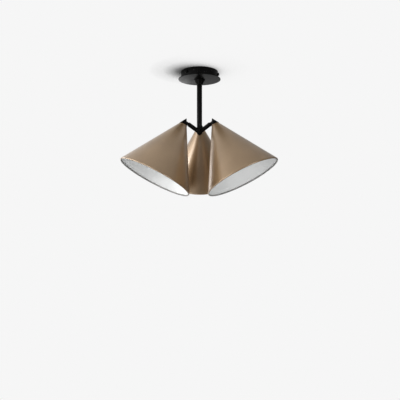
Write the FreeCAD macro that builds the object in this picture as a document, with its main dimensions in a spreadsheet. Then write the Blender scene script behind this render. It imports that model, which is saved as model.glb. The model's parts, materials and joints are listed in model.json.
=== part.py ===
import FreeCAD, Part
import math
import os

import Sketcher

# Three-cone ceiling light: a round ceiling rose, a stem, a three-way hub and three swivelling cone shades.
# The origin is the centre of the rose on the ceiling, +Z is up and lengths are in millimetres.
# The back arm points along +Y; the left and right arms lie a third of a turn to either side of it.

# Driving sizes: millimetres, and degrees for angles
SIZES = {
    # Fits
    "thread_clearance": 0.05,
    "running_clearance": 0.05,
    "hole_clearance": 0.15,
    "stop_clearance": 0.3,
    # Ceiling rose
    "plate_diameter": 120,
    "plate_thickness": 2,
    "cup_diameter": 105,
    "cup_height": 20,
    "cup_wall": 1.5,
    # Ceiling bracket inside the rose
    "bracket_diameter": 84,
    "bracket_thickness": 1.5,
    "cable_hole": 20,
    "mount_spacing": 60,
    "mount_slot_width": 5,
    "mount_slot_length": 14,
    "ear_width": 14,
    "ear_drop": 14,
    "ear_gap": 1,
    # Thumb screws through the wall of the rose
    "side_screw_azimuth": -10,
    "side_screw_drop": 9.5,
    "side_screw_diameter": 4,
    "side_screw_length": 8,
    "side_knob_diameter": 8,
    "side_knob_length": 4,
    "side_knob_chamfer": 0.6,
    # Earth terminal and connector block on the bracket
    "earth_offset": 27,
    "earth_screw_diameter": 4,
    "earth_head_diameter": 8,
    "earth_head_height": 2.8,
    "earth_washer_diameter": 10,
    "earth_washer_thickness": 1,
    "block_offset": 26,
    "block_length": 30,
    "block_width": 17,
    "block_height": 12,
    "pole_pitch": 10,
    "wire_entry": 3.6,
    "clamp_screw_diameter": 3.2,
    "clamp_screw_length": 3.4,
    "clamp_screw_spacing": 9,
    "clamp_screw_sink": 1.2,
    "block_screw_diameter": 3,
    "block_screw_head": 5.4,
    "block_screw_head_height": 2,
    # Stem, its collar and the threaded tube that clamps it to the rose
    "stem_diameter": 15,
    "stem_length": 133.4,
    "nipple_diameter": 10,
    "nipple_bore": 7,
    "nipple_grip": 16,
    "nipple_tail": 2,
    "stem_washer_diameter": 26,
    "stem_washer_thickness": 1.5,
    "stem_nut_flats": 14,
    "stem_nut_height": 4,
    "collar_diameter": 32,
    "collar_lip": 1.4,
    "collar_height": 14.5,
    "collar_foot": 17,
    # Hub
    "hub_rise": 14,
    "hub_ball": 17,
    "hub_spigot": 12,
    "stub_length": 14,
    "finial_seat": 6.8,
    "finial_diameter": 10,
    "finial_height": 2.1,
    "finial_shank": 6,
    "finial_shank_length": 5,
    # Arms
    "arm_rise": 30,
    "arm_diameter": 12,
    "arm_end": 41,
    "arm_chamfer": 0.8,
    "arm_spigot_diameter": 8,
    "arm_spigot_length": 5,
    "wire_bore": 5,
    # Swivel spindle with its stop slot
    "arm_reach": 53.9,
    "spindle_diameter": 8,
    "spindle_tail": 15,
    "spindle_bore": 4,
    "spindle_spigot": 6,
    "spindle_seat": 4.5,
    "spindle_past": 3,
    "turn_limit": 10,
    "stop_setback": 8,
    "stop_depth": 1.4,
    "grub_diameter": 3,
    "grub_tip": 2,
    "grub_socket": 1.5,
    "grub_inset": 0.2,
    # Cap of the shade with its threaded stud
    "pivot_drop": 9.5,
    "cap_depth": 20,
    "cap_proud": 0.8,
    "cap_tip": 0.8,
    "stud_diameter": 8,
    "stud_bore": 5,
    "stud_length": 16,
    # Spun shade with its rolled rim
    "rim_diameter": 208,
    "shade_height": 190,
    "shade_wall": 1,
    "rim_roll": 4,
    "shade_washer_gap": 0.5,
    "shade_washer_thickness": 1,
    "shade_nut_flats": 13,
    "shade_nut_height": 4,
    # Lampholder and bulb
    "holder_neck": 14,
    "holder_neck_length": 11,
    "holder_shoulder": 4,
    "holder_diameter": 27,
    "holder_length": 45.5,
    "socket_depth": 28,
    "socket_diameter": 16,
    "socket_wall": 0.6,
    "socket_lead": 1.5,
    "bulb_cap_diameter": 14,
    "bulb_cap_length": 23,
    "bulb_contact": 5,
    "bulb_contact_height": 2,
    "bulb_gap": 2,
    "bulb_flange": 18,
    "bulb_flange_height": 3,
    "bulb_diameter": 45,
    "bulb_neck": 16,
    "bulb_neck_drop": 30,
    "bulb_glass": 0.8,
}

# Places worked out from the driving sizes
PLACES = {
    "plate_under": "-(Dim.cup_height + Dim.plate_thickness)",
    "rose_floor": "Dim.cup_wall - Dim.cup_height",
    "cup_inside": "Dim.cup_diameter / 2 - Dim.cup_wall",
    "stem_hole": "Dim.nipple_diameter / 2 + Dim.hole_clearance",
    "stem_thread": "Dim.nipple_diameter / 2 + Dim.thread_clearance",
    "hub_level": "-(Dim.cup_height + Dim.plate_thickness + Dim.stem_length + Dim.hub_rise)",
    "ball_shoulder": "sqrt((Dim.hub_ball / 2) ^ 2 - (Dim.stem_diameter / 2) ^ 2)",
    "ball_flat": "sqrt((Dim.hub_ball / 2) ^ 2 - Dim.finial_seat ^ 2)",
    "finial_dome": "((Dim.finial_diameter / 2) ^ 2 + Dim.finial_height ^ 2) / (2 * Dim.finial_height)",
    "ear_reach": "Dim.cup_diameter / 2 - Dim.cup_wall - Dim.ear_gap",
    "spindle_start": "Dim.arm_end - Dim.spindle_tail",
    "stop_line": "Dim.arm_end - Dim.stop_setback",
    "stop_floor": "Dim.spindle_diameter / 2 - Dim.stop_depth",
    "stop_width": "Dim.grub_tip + 2 * Dim.stop_clearance",
    "slope": "Dim.rim_diameter / 2 / Dim.shade_height",
    "lean_sin": "Dim.rim_diameter / 2 / sqrt(Dim.shade_height ^ 2 + (Dim.rim_diameter / 2) ^ 2)",
    "lean_cos": "Dim.shade_height / sqrt(Dim.shade_height ^ 2 + (Dim.rim_diameter / 2) ^ 2)",
    "cap_base": "Dim.pivot_drop - Dim.cap_depth",
    "rim_level": "Dim.pivot_drop - Dim.shade_height",
    "stud_hole": "Dim.stud_diameter / 2 + Dim.hole_clearance",
    "stud_thread": "Dim.stud_diameter / 2 + Dim.thread_clearance",
    "crown_inside": "(Dim.cap_depth + Dim.shade_wall) * Place.slope - Dim.shade_wall / Place.lean_cos",
    "washer_radius": "Place.crown_inside - Dim.shade_washer_gap",
    "washer_top": "Place.cap_base - Dim.shade_wall",
    "nut_top": "Place.washer_top - Dim.shade_washer_thickness",
    "holder_top": "Place.nut_top - Dim.shade_nut_height",
    "holder_mouth": "Place.holder_top - Dim.holder_length",
    "socket_floor": "Place.holder_mouth + Dim.socket_depth",
    "bulb_seat": "Place.holder_mouth - Dim.bulb_gap",
    "glass_seat": "Place.bulb_seat - Dim.bulb_flange_height",
    "glass_centre": "Place.glass_seat - Dim.bulb_neck_drop",
}

LAMP_AZIMUTHS = {"back": 90, "left": 210, "right": 330}
LAMP_COUNT = len(LAMP_AZIMUTHS)
SCREW_COUNT = 3
POLE_COUNT = 3
FULL_TURN = 360
LEFT_BEND = 1
RIGHT_BEND = -1
ORIGIN_POINT = (-1, 1)
LEAST_CUT = 0.01
CUTTING_FEATURES = ("PartDesign::Groove", "PartDesign::Pocket", "PartDesign::SubtractiveCylinder")

doc = FreeCAD.newDocument("three_cone_ceiling_light")
sub_parts = []


def fill_sheet(name, cells):
    """Make one sheet with a word and a value on each row, the word being the value's alias."""
    sheet = doc.addObject("Spreadsheet::Sheet", name)
    for row, (alias, content) in enumerate(cells.items(), start=1):
        sheet.set(f"A{row}", alias)
        sheet.set(f"B{row}", content)
        sheet.setAlias(f"B{row}", alias)
    doc.recompute()


fill_sheet("Dim", {alias: str(value) for alias, value in SIZES.items()})
fill_sheet("Place", {alias: "=" + rule for alias, rule in PLACES.items()})


def origin_feature(body, role):
    """Give the origin plane or axis of a body that has this role."""
    return next(item for item in body.Origin.OriginFeatures if item.Role == role)


def number(holder, text):
    """Work out an expression to a plain number."""
    return float(holder.evalExpression(text))


def add_sketch(body, name, role="XZ_Plane", offset=None):
    """Attach a new sketch to one of the body's own origin planes."""
    sketch = body.newObject("Sketcher::SketchObject", name)
    sketch.AttachmentSupport = [(origin_feature(body, role), "")]
    sketch.MapMode = "FlatFace"
    if offset:
        sketch.setExpression("AttachmentOffset", offset)
        doc.recompute()
    return sketch


def bind(sketch, constraint, text):
    """Add a dimension to a sketch and tie it to an expression."""
    index = sketch.addConstraint(constraint)
    sketch.setExpression(f"Constraints[{index}]", text)


def pin_point(sketch, geometry, point, across, up):
    """Hold one point of a sketch at two expressions measured from the sketch's origin."""
    for kind, text in (("DistanceX", across), ("DistanceY", up)):
        value = number(sketch, text)
        bind(sketch, Sketcher.Constraint(kind, *ORIGIN_POINT, geometry, point, value), text)


def short_arc(start, finish, radius, bend):
    """Make the shorter arc between two points, bending left or right on its way."""
    chord = finish - start
    half = chord.Length / 2
    height = math.sqrt(max(radius ** 2 - half ** 2, 0))
    side = FreeCAD.Vector(-chord.y, chord.x, 0).normalize() * bend
    centre = start + chord / 2 + side * height
    first, last = (start, finish) if bend == LEFT_BEND else (finish, start)
    angles = [math.atan2(spot.y - centre.y, spot.x - centre.x) for spot in (first, last)]
    if angles[1] < angles[0]:
        angles[1] += 2 * math.pi
    return Part.ArcOfCircle(Part.Circle(centre, FreeCAD.Vector(0, 0, 1), radius), *angles)


def outline(sketch, corners):
    """Draw a closed outline; a corner with a radius and a bend starts an arc, any other a straight line."""
    spots = []
    for corner in corners:
        spots.append(FreeCAD.Vector(number(sketch, corner[0]), number(sketch, corner[1]), 0))
    edges = []
    for corner, start, finish in zip(corners, spots, spots[1:] + spots[:1]):
        if len(corner) == 2:
            edges.append((sketch.addGeometry(Part.LineSegment(start, finish)), 1, 2))
            continue
        radius_text, bend = corner[2:]
        radius = number(sketch, radius_text)
        arc = sketch.addGeometry(short_arc(start, finish, radius, bend))
        bind(sketch, Sketcher.Constraint("Radius", arc, radius), radius_text)
        edges.append((arc, 1, 2) if bend == LEFT_BEND else (arc, 2, 1))
    for (edge, _, end), (next_edge, next_start, _) in zip(edges, edges[1:] + edges[:1]):
        sketch.addConstraint(Sketcher.Constraint("Coincident", edge, end, next_edge, next_start))
    for (edge, start, _), corner in zip(edges, corners):
        pin_point(sketch, edge, start, corner[0], corner[1])


def circle(sketch, across, up, radius_text):
    """Draw a circle about a point given by two expressions."""
    centre = FreeCAD.Vector(number(sketch, across), number(sketch, up), 0)
    radius = number(sketch, radius_text)
    ring = sketch.addGeometry(Part.Circle(centre, FreeCAD.Vector(0, 0, 1), radius))
    bind(sketch, Sketcher.Constraint("Radius", ring, radius), radius_text)
    pin_point(sketch, ring, 3, across, up)


def slot_corners(middle, length, width):
    """Give the corners of a round-ended slot that lies along X about a point on X."""
    half = f"({length} - {width}) / 2"
    radius = f"{width} / 2"
    left = f"{middle} - {half}"
    right = f"{middle} + {half}"
    return [
        (left, f"-{radius}"),
        (right, f"-{radius}", radius, LEFT_BEND),
        (f"{right} + {radius}", "0", radius, LEFT_BEND),
        (right, radius),
        (left, radius, radius, LEFT_BEND),
        (f"{left} - {radius}", "0", radius, LEFT_BEND),
    ]


def new_body(label):
    """Start a body for one piece."""
    body = doc.addObject("PartDesign::Body", label)
    body.Label = label
    return body


def sub_part(piece, placement=None):
    """Enter a finished piece in the list of nodes and tie its placement to an expression."""
    if placement:
        piece.setExpression("Placement", placement)
    sub_parts.append(piece)
    return piece


def turn(body, corners, axis="V_Axis"):
    """Turn an outline on the body's XZ plane through a full circle."""
    sketch = add_sketch(body, body.Label + "_profile")
    outline(sketch, corners)
    feature = body.newObject("PartDesign::Revolution", body.Label + "_turning")
    feature.Profile = sketch
    feature.ReferenceAxis = (sketch, [axis])
    feature.Angle = FULL_TURN
    return feature


def turned(label, corners, axis="V_Axis"):
    """Make a piece whose main form is one turned outline."""
    body = new_body(label)
    turn(body, corners, axis)
    return body


def turned_cut(body, name, corners, axis, angle=None):
    """Cut a turned outline out of a body, through a full circle or symmetrically through an angle."""
    sketch = add_sketch(body, name + "_profile")
    outline(sketch, corners)
    feature = body.newObject("PartDesign::Groove", name)
    feature.Profile = sketch
    feature.ReferenceAxis = (sketch, [axis])
    feature.Angle = FULL_TURN
    if angle:
        feature.Midplane = True
        feature.setExpression("Angle", angle)
    return feature


def pad(body, name, sketch, length, reversed_way=False, midplane=False):
    """Raise a sketch to a solid of the given length."""
    feature = body.newObject("PartDesign::Pad", name)
    feature.Profile = sketch
    feature.setExpression("Length", length)
    feature.Reversed = reversed_way
    feature.Midplane = midplane
    return feature


def pocket(body, name, sketch, length, reversed_way=False):
    """Sink a sketch into a body by the given length, against the sketch's normal unless reversed."""
    feature = body.newObject("PartDesign::Pocket", name)
    feature.Profile = sketch
    feature.setExpression("Length", length)
    feature.Reversed = reversed_way
    return feature


def round_rod(body, kind, name, radius, height, offset):
    """Add or cut a cylinder that stands on the body's XY plane after a shift and a turn."""
    feature = body.newObject(kind, name)
    feature.AttachmentSupport = [(origin_feature(body, "XY_Plane"), "")]
    feature.MapMode = "FlatFace"
    feature.setExpression("Radius", radius)
    feature.setExpression("Height", height)
    feature.setExpression("AttachmentOffset", offset)
    return feature


def ring_pattern(body, feature, count):
    """Repeat a feature evenly round the body's Z axis."""
    pattern = body.newObject("PartDesign::PolarPattern", feature.Name + "_ring")
    pattern.Originals = [feature]
    pattern.Axis = (origin_feature(body, "Z_Axis"), [""])
    pattern.Angle = FULL_TURN
    pattern.Occurrences = count
    body.Tip = pattern
    return pattern


def row_pattern(body, feature, length, count):
    """Repeat a feature along the body's X axis over a length."""
    pattern = body.newObject("PartDesign::LinearPattern", feature.Name + "_row")
    pattern.Originals = [feature]
    pattern.Direction = (origin_feature(body, "X_Axis"), [""])
    pattern.setExpression("Length", length)
    pattern.Occurrences = count
    body.Tip = pattern
    return pattern


def gather(label, pieces):
    """Gather alike pieces, such as a set of screws, in one node of separate solids."""
    group = doc.addObject("Part::Compound", label)
    group.Label = label
    group.Links = pieces
    return sub_part(group)


def hexagon(sketch, flats):
    """Draw a hexagon with two corners on X, as wide across its flats as stated."""
    corner = f"{flats} / sqrt(3)"
    outline(sketch, [
        (corner, "0"),
        (f"{corner} / 2", f"{flats} / 2"),
        (f"-{corner} / 2", f"{flats} / 2"),
        (f"-{corner}", "0"),
        (f"-{corner} / 2", f"-{flats} / 2"),
        (f"{corner} / 2", f"-{flats} / 2"),
    ])


def hex_nut(label, flats, height, hole_radius):
    """Make a hexagon nut that stands on its XY plane."""
    body = new_body(label)
    sketch = add_sketch(body, label + "_outline", "XY_Plane")
    hexagon(sketch, flats)
    circle(sketch, "0", "0", hole_radius)
    pad(body, label + "_pad", sketch, height)
    return body


def flat_ring(label, outer_diameter, hole_radius, thickness):
    """Make a washer that stands on its XY plane."""
    return turned(label, [
        (hole_radius, "0"),
        (f"{outer_diameter} / 2", "0"),
        (f"{outer_diameter} / 2", thickness),
        (hole_radius, thickness),
    ])


def at_height(level):
    """Place a piece on the stem's axis at a height."""
    return f"placement(vector(0; 0; {level}); rotation(0; 0; 0))"


def arm_frame(azimuth):
    """Place a piece on an arm: X runs out along the arm from the point where the arms' axes cross."""
    return f"placement(vector(0; 0; Place.hub_level); rotation({azimuth}; -Dim.arm_rise; 0))"


def shade_frame(azimuth):
    """Place a piece on a shade: Z runs up the shade's axis from the swivel axis, X as on the arm."""
    out = "Dim.arm_reach * cos(Dim.arm_rise)"
    level = "Place.hub_level + Dim.arm_reach * sin(Dim.arm_rise)"
    spot = f"vector({out} * cos({azimuth}); {out} * sin({azimuth}); {level})"
    return f"placement({spot}; rotation({azimuth}; -Dim.arm_rise; 0))"


def make_rose():
    """Make the pressed cup and the wider plate that close the ceiling connection."""
    cup = turned("canopy_cup", [
        ("Place.stem_hole", "-Dim.cup_height"),
        ("Dim.cup_diameter / 2", "-Dim.cup_height"),
        ("Dim.cup_diameter / 2", "0"),
        ("Place.cup_inside", "0"),
        ("Place.cup_inside", "Place.rose_floor"),
        ("Place.stem_hole", "Place.rose_floor"),
    ])
    hole = round_rod(
        cup, "PartDesign::SubtractiveCylinder", "cup_screw_hole",
        "Dim.side_screw_diameter / 2 + Dim.hole_clearance", "Dim.cup_diameter",
        "placement(vector(0; 0; -Dim.side_screw_drop); rotation(Dim.side_screw_azimuth; 90; 0))")
    ring_pattern(cup, hole, SCREW_COUNT)
    sub_part(cup)
    plate = turned("canopy_plate", [
        ("Place.stem_hole", "0"),
        ("Dim.plate_diameter / 2", "0"),
        ("Dim.plate_diameter / 2", "Dim.plate_thickness"),
        ("Place.stem_hole", "Dim.plate_thickness"),
    ])
    sub_part(plate, at_height("Place.plate_under"))


def make_bracket():
    """Make the folded steel bracket that is screwed to the ceiling, with three tapped ears."""
    body = new_body("ceiling_bracket")
    disc = add_sketch(body, "bracket_disc", "XY_Plane")
    circle(disc, "0", "0", "Dim.bracket_diameter / 2")
    circle(disc, "0", "0", "Dim.cable_hole / 2")
    circle(disc, "0", "-Dim.earth_offset", "Dim.earth_screw_diameter / 2 + Dim.thread_clearance")
    block_thread = "Dim.block_screw_diameter / 2 + Dim.thread_clearance"
    circle(disc, "Dim.pole_pitch / 2", "Dim.block_offset", block_thread)
    pad(body, "bracket_sheet", disc, "Dim.bracket_thickness", reversed_way=True)
    fold = add_sketch(
        body, "bracket_ear_fold", "XZ_Plane",
        "placement(vector(0; 0; 0); rotation(vector(0; 1; 0); Dim.side_screw_azimuth))")
    outline(fold, [
        ("Dim.bracket_diameter / 2 - Dim.bracket_thickness * 2", "0"),
        ("Place.ear_reach", "0"),
        ("Place.ear_reach", "-Dim.ear_drop"),
        ("Place.ear_reach - Dim.bracket_thickness", "-Dim.ear_drop"),
        ("Place.ear_reach - Dim.bracket_thickness", "-Dim.bracket_thickness"),
        ("Dim.bracket_diameter / 2 - Dim.bracket_thickness * 2", "-Dim.bracket_thickness"),
    ])
    ear = pad(body, "bracket_ear", fold, "Dim.ear_width", midplane=True)
    ring_pattern(body, ear, SCREW_COUNT)
    tapped = round_rod(
        body, "PartDesign::SubtractiveCylinder", "bracket_ear_hole",
        "Dim.side_screw_diameter / 2 + Dim.thread_clearance", "Dim.cup_diameter",
        "placement(vector(0; 0; -Dim.side_screw_drop); rotation(Dim.side_screw_azimuth; 90; 0))")
    ring_pattern(body, tapped, SCREW_COUNT)
    for name, middle in (("bracket_slot_right", "Dim.mount_spacing / 2"),
                         ("bracket_slot_left", "-Dim.mount_spacing / 2")):
        sketch = add_sketch(body, name + "_outline", "XY_Plane")
        outline(sketch, slot_corners(middle, "Dim.mount_slot_length", "Dim.mount_slot_width"))
        body.Tip = pocket(body, name, sketch, "Dim.bracket_thickness")
    sub_part(body)


def make_side_screws():
    """Make the three thumb screws that hold the rose on the bracket's ears."""
    screws = []
    inner = "Dim.cup_diameter / 2 - Dim.side_screw_length"
    outer = "Dim.cup_diameter / 2 + Dim.side_knob_length"
    knob = "Dim.side_knob_diameter / 2"
    for index in range(SCREW_COUNT):
        screw = turned(f"side_screw_{index + 1}", [
            (inner, "0"),
            (outer, "0"),
            (outer, f"{knob} - Dim.side_knob_chamfer"),
            (f"{outer} - Dim.side_knob_chamfer", knob),
            ("Dim.cup_diameter / 2", knob),
            ("Dim.cup_diameter / 2", "Dim.side_screw_diameter / 2"),
            (inner, "Dim.side_screw_diameter / 2"),
        ], "H_Axis")
        azimuth = f"Dim.side_screw_azimuth + {index} * {FULL_TURN} / {SCREW_COUNT}"
        spot = "vector(0; 0; -Dim.side_screw_drop)"
        screw.setExpression("Placement", f"placement({spot}; rotation({azimuth}; 0; 0))")
        screws.append(screw)
    gather("canopy_thumb_screws", screws)


def make_earth_terminal():
    """Make the earth screw and its washer under the bracket."""
    spot = "placement(vector(0; -Dim.earth_offset; -Dim.bracket_thickness); rotation(0; 0; 0))"
    washer = turned("earth_washer", [
        ("Dim.earth_screw_diameter / 2 + Dim.hole_clearance", "-Dim.earth_washer_thickness"),
        ("Dim.earth_washer_diameter / 2", "-Dim.earth_washer_thickness"),
        ("Dim.earth_washer_diameter / 2", "0"),
        ("Dim.earth_screw_diameter / 2 + Dim.hole_clearance", "0"),
    ])
    sub_part(washer, spot)
    head_top = "-Dim.earth_washer_thickness"
    head_bottom = "-Dim.earth_washer_thickness - Dim.earth_head_height"
    tip = "Dim.bracket_thickness"
    screw = turned("earth_screw", [
        ("0", head_bottom),
        ("Dim.earth_head_diameter / 2", head_bottom),
        ("Dim.earth_head_diameter / 2", head_top),
        ("Dim.earth_screw_diameter / 2", head_top),
        ("Dim.earth_screw_diameter / 2", tip),
        ("0", tip),
    ])
    sub_part(screw, spot)


def make_connector():
    """Make the three-pole connector block, its clamp screws and the screw that holds it."""
    first_pole = f"-Dim.pole_pitch * {POLE_COUNT - 1} / 2"
    pole_run = f"Dim.pole_pitch * {POLE_COUNT - 1}"
    block = new_body("connector_block")
    foot = add_sketch(block, "connector_foot", "XY_Plane")
    outline(foot, [
        ("-Dim.block_length / 2", "-Dim.block_width / 2"),
        ("Dim.block_length / 2", "-Dim.block_width / 2"),
        ("Dim.block_length / 2", "Dim.block_width / 2"),
        ("-Dim.block_length / 2", "Dim.block_width / 2"),
    ])
    pad(block, "connector_body", foot, "Dim.block_height", reversed_way=True)
    entry = round_rod(
        block, "PartDesign::SubtractiveCylinder", "connector_wire_entry",
        "Dim.wire_entry / 2", "Dim.block_width + 2 * Dim.wire_entry",
        f"placement(vector({first_pole}; Dim.block_width / 2 + Dim.wire_entry; -Dim.block_height / 2);"
        " rotation(vector(1; 0; 0); 90))")
    row_pattern(block, entry, pole_run, POLE_COUNT)
    for name, side in (("connector_well_front", -1), ("connector_well_rear", 1)):
        well = round_rod(
            block, "PartDesign::SubtractiveCylinder", name,
            "Dim.clamp_screw_diameter / 2 + Dim.thread_clearance", "Dim.block_height / 2",
            f"placement(vector({first_pole}; {side} * Dim.clamp_screw_spacing / 2; -Dim.block_height);"
            " rotation(0; 0; 0))")
        row_pattern(block, well, pole_run, POLE_COUNT)
    fixing = add_sketch(block, "connector_fixing", "XY_Plane")
    circle(fixing, "Dim.pole_pitch / 2", "0", "Dim.block_screw_diameter / 2 + Dim.hole_clearance")
    pocket(block, "connector_fixing_hole", fixing, "Dim.block_height")
    sub_part(block, "placement(vector(0; Dim.block_offset; -Dim.bracket_thickness); rotation(0; 0; 0))")
    screws = []
    for side in (-1, 1):
        for pole in range(POLE_COUNT):
            screw = turned(f"clamp_screw_{len(screws) + 1}", [
                ("0", "0"),
                ("Dim.clamp_screw_diameter / 2", "0"),
                ("Dim.clamp_screw_diameter / 2", "Dim.clamp_screw_length"),
                ("0", "Dim.clamp_screw_length"),
            ])
            across = f"{first_pole} + {pole} * Dim.pole_pitch"
            along = f"Dim.block_offset + {side} * Dim.clamp_screw_spacing / 2"
            level = "Dim.clamp_screw_sink - Dim.block_height - Dim.bracket_thickness"
            screw.setExpression(
                "Placement", f"placement(vector({across}; {along}; {level}); rotation(0; 0; 0))")
            screws.append(screw)
    gather("connector_clamp_screws", screws)
    head_top = "-Dim.block_height"
    head_bottom = "-Dim.block_height - Dim.block_screw_head_height"
    fixing_screw = turned("connector_fixing_screw", [
        ("0", head_bottom),
        ("Dim.block_screw_head / 2", head_bottom),
        ("Dim.block_screw_head / 2", head_top),
        ("Dim.block_screw_diameter / 2", head_top),
        ("Dim.block_screw_diameter / 2", "Dim.bracket_thickness"),
        ("0", "Dim.bracket_thickness"),
    ])
    sub_part(
        fixing_screw,
        "placement(vector(Dim.pole_pitch / 2; Dim.block_offset; -Dim.bracket_thickness); rotation(0; 0; 0))")


def make_stem():
    """Make the stem, its collar and the threaded tube, washer and nut that clamp it to the rose."""
    inside = "Place.stem_thread"
    stem = turned("stem_tube", [
        (inside, "-Dim.stem_length"),
        ("Dim.stem_diameter / 2", "-Dim.stem_length"),
        ("Dim.stem_diameter / 2", "0"),
        (inside, "0"),
    ])
    sub_part(stem, at_height("Place.plate_under"))
    around = "Dim.stem_diameter / 2 + Dim.hole_clearance"
    collar = turned("stem_collar", [
        (around, "-Dim.collar_height"),
        ("Dim.collar_foot / 2", "-Dim.collar_height"),
        ("Dim.collar_diameter / 2", "-Dim.collar_lip"),
        ("Dim.collar_diameter / 2", "0"),
        (around, "0"),
    ])
    sub_part(collar, at_height("Place.plate_under"))
    washer = flat_ring(
        "stem_washer", "Dim.stem_washer_diameter", "Place.stem_hole", "Dim.stem_washer_thickness")
    sub_part(washer, at_height("Place.rose_floor"))
    nut = hex_nut("stem_nut", "Dim.stem_nut_flats", "Dim.stem_nut_height", "Place.stem_thread")
    sub_part(nut, at_height("Place.rose_floor + Dim.stem_washer_thickness"))
    top = ("Dim.plate_thickness + Dim.cup_wall + Dim.stem_washer_thickness"
           " + Dim.stem_nut_height + Dim.nipple_tail")
    nipple = turned("stem_nipple", [
        ("Dim.nipple_bore / 2", "-Dim.nipple_grip"),
        ("Dim.nipple_diameter / 2", "-Dim.nipple_grip"),
        ("Dim.nipple_diameter / 2", top),
        ("Dim.nipple_bore / 2", top),
    ])
    sub_part(nipple, at_height("Place.plate_under"))


def make_hub():
    """Make the hub that screws up into the stem and holds the three arms, and its closing screw."""
    hub = new_body("hub")
    spigot_top = "Dim.hub_rise + Dim.hub_spigot"
    turn(hub, [
        ("0", "-Dim.finial_seat"),
        ("Place.ball_flat", "-Dim.finial_seat", "Dim.hub_ball / 2", LEFT_BEND),
        ("Dim.stem_diameter / 2", "Place.ball_shoulder"),
        ("Dim.stem_diameter / 2", "Dim.hub_rise"),
        ("Dim.nipple_diameter / 2", "Dim.hub_rise"),
        ("Dim.nipple_diameter / 2", spigot_top),
        ("0", spigot_top),
    ])
    arm_turn = f"rotation({LAMP_AZIMUTHS['back']}; 90 - Dim.arm_rise; 0)"
    along_arm = f"placement(vector(0; 0; 0); {arm_turn})"
    stub = round_rod(
        hub, "PartDesign::AdditiveCylinder", "hub_stub",
        "Dim.arm_diameter / 2", "Dim.stub_length", along_arm)
    ring_pattern(hub, stub, LAMP_COUNT)
    wire_way = round_rod(
        hub, "PartDesign::SubtractiveCylinder", "hub_wire_way",
        "Dim.wire_bore / 2", "Dim.stub_length", along_arm)
    ring_pattern(hub, wire_way, LAMP_COUNT)
    seat_start = "(Dim.stub_length - Dim.arm_spigot_length - Dim.hole_clearance)"
    seat_spot = f"vector(0; {seat_start} * cos(Dim.arm_rise); {seat_start} * sin(Dim.arm_rise))"
    seat = round_rod(
        hub, "PartDesign::SubtractiveCylinder", "hub_arm_seat",
        "Dim.arm_spigot_diameter / 2 + Dim.thread_clearance", "Dim.arm_spigot_length + Dim.hole_clearance",
        f"placement({seat_spot}; {arm_turn})")
    ring_pattern(hub, seat, LAMP_COUNT)
    shank_hole = "Dim.finial_shank / 2 + Dim.thread_clearance"
    shank_end = "Dim.finial_shank_length + Dim.hole_clearance - Dim.finial_seat"
    turned_cut(hub, "hub_bore", [
        ("0", "-Dim.finial_seat"),
        (shank_hole, "-Dim.finial_seat"),
        (shank_hole, shank_end),
        ("Dim.nipple_bore / 2", shank_end),
        ("Dim.nipple_bore / 2", spigot_top),
        ("0", spigot_top),
    ], "V_Axis")
    sub_part(hub, at_height("Place.hub_level"))
    finial = turned("hub_finial", [
        ("0", "-Dim.finial_seat - Dim.finial_height", "Place.finial_dome", LEFT_BEND),
        ("Dim.finial_diameter / 2", "-Dim.finial_seat"),
        ("Dim.finial_shank / 2", "-Dim.finial_seat"),
        ("Dim.finial_shank / 2", "Dim.finial_shank_length - Dim.finial_seat"),
        ("0", "Dim.finial_shank_length - Dim.finial_seat"),
    ])
    sub_part(finial, at_height("Place.hub_level"))


def make_arm(side, azimuth):
    """Make one arm: a spigot in the hub, a plain outside and a smooth socket for the swivel spindle."""
    spigot_start = "Dim.stub_length - Dim.arm_spigot_length"
    socket = "Dim.spindle_diameter / 2 + Dim.running_clearance"
    socket_floor = "Place.spindle_start - Dim.stop_clearance"
    arm = turned(f"{side}_arm", [
        (spigot_start, "Dim.wire_bore / 2"),
        (socket_floor, "Dim.wire_bore / 2"),
        (socket_floor, socket),
        ("Dim.arm_end", socket),
        ("Dim.arm_end", "Dim.arm_diameter / 2 - Dim.arm_chamfer"),
        ("Dim.arm_end - Dim.arm_chamfer", "Dim.arm_diameter / 2"),
        ("Dim.stub_length", "Dim.arm_diameter / 2"),
        ("Dim.stub_length", "Dim.arm_spigot_diameter / 2"),
        (spigot_start, "Dim.arm_spigot_diameter / 2"),
    ], "H_Axis")
    tapping = add_sketch(arm, f"{side}_arm_tapping", "XY_Plane")
    circle(tapping, "Place.stop_line", "0", "Dim.grub_diameter / 2 + Dim.thread_clearance")
    pocket(arm, f"{side}_arm_grub_hole", tapping, "Dim.arm_diameter / 2")
    sub_part(arm, arm_frame(azimuth))


def make_grub_screws():
    """Make the grub screws under the arms, whose tips run in the spindles' stop slots."""
    screws = []
    shoulder = "-(Dim.spindle_diameter / 2 + Dim.stop_clearance)"
    tip = "-(Place.stop_floor + Dim.stop_clearance)"
    outside = "-(Dim.arm_diameter / 2 - Dim.grub_inset)"
    for side, azimuth in LAMP_AZIMUTHS.items():
        screw = turned(f"{side}_grub_screw", [
            ("0", outside),
            ("Dim.grub_diameter / 2", outside),
            ("Dim.grub_diameter / 2", shoulder),
            ("Dim.grub_tip / 2", shoulder),
            ("Dim.grub_tip / 2", tip),
            ("0", tip),
        ])
        key = add_sketch(screw, f"{side}_grub_key", "XY_Plane", at_height(outside))
        hexagon(key, "Dim.grub_socket")
        pocket(screw, f"{side}_grub_socket", key, "Dim.grub_socket / 2", reversed_way=True)
        out = "Place.stop_line * cos(Dim.arm_rise)"
        level = "Place.hub_level + Place.stop_line * sin(Dim.arm_rise)"
        spot = f"vector({out} * cos({azimuth}); {out} * sin({azimuth}); {level})"
        screw.setExpression("Placement", f"placement({spot}; rotation({azimuth}; -Dim.arm_rise; 0))")
        screws.append(screw)
    gather("arm_grub_screws", screws)


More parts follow.
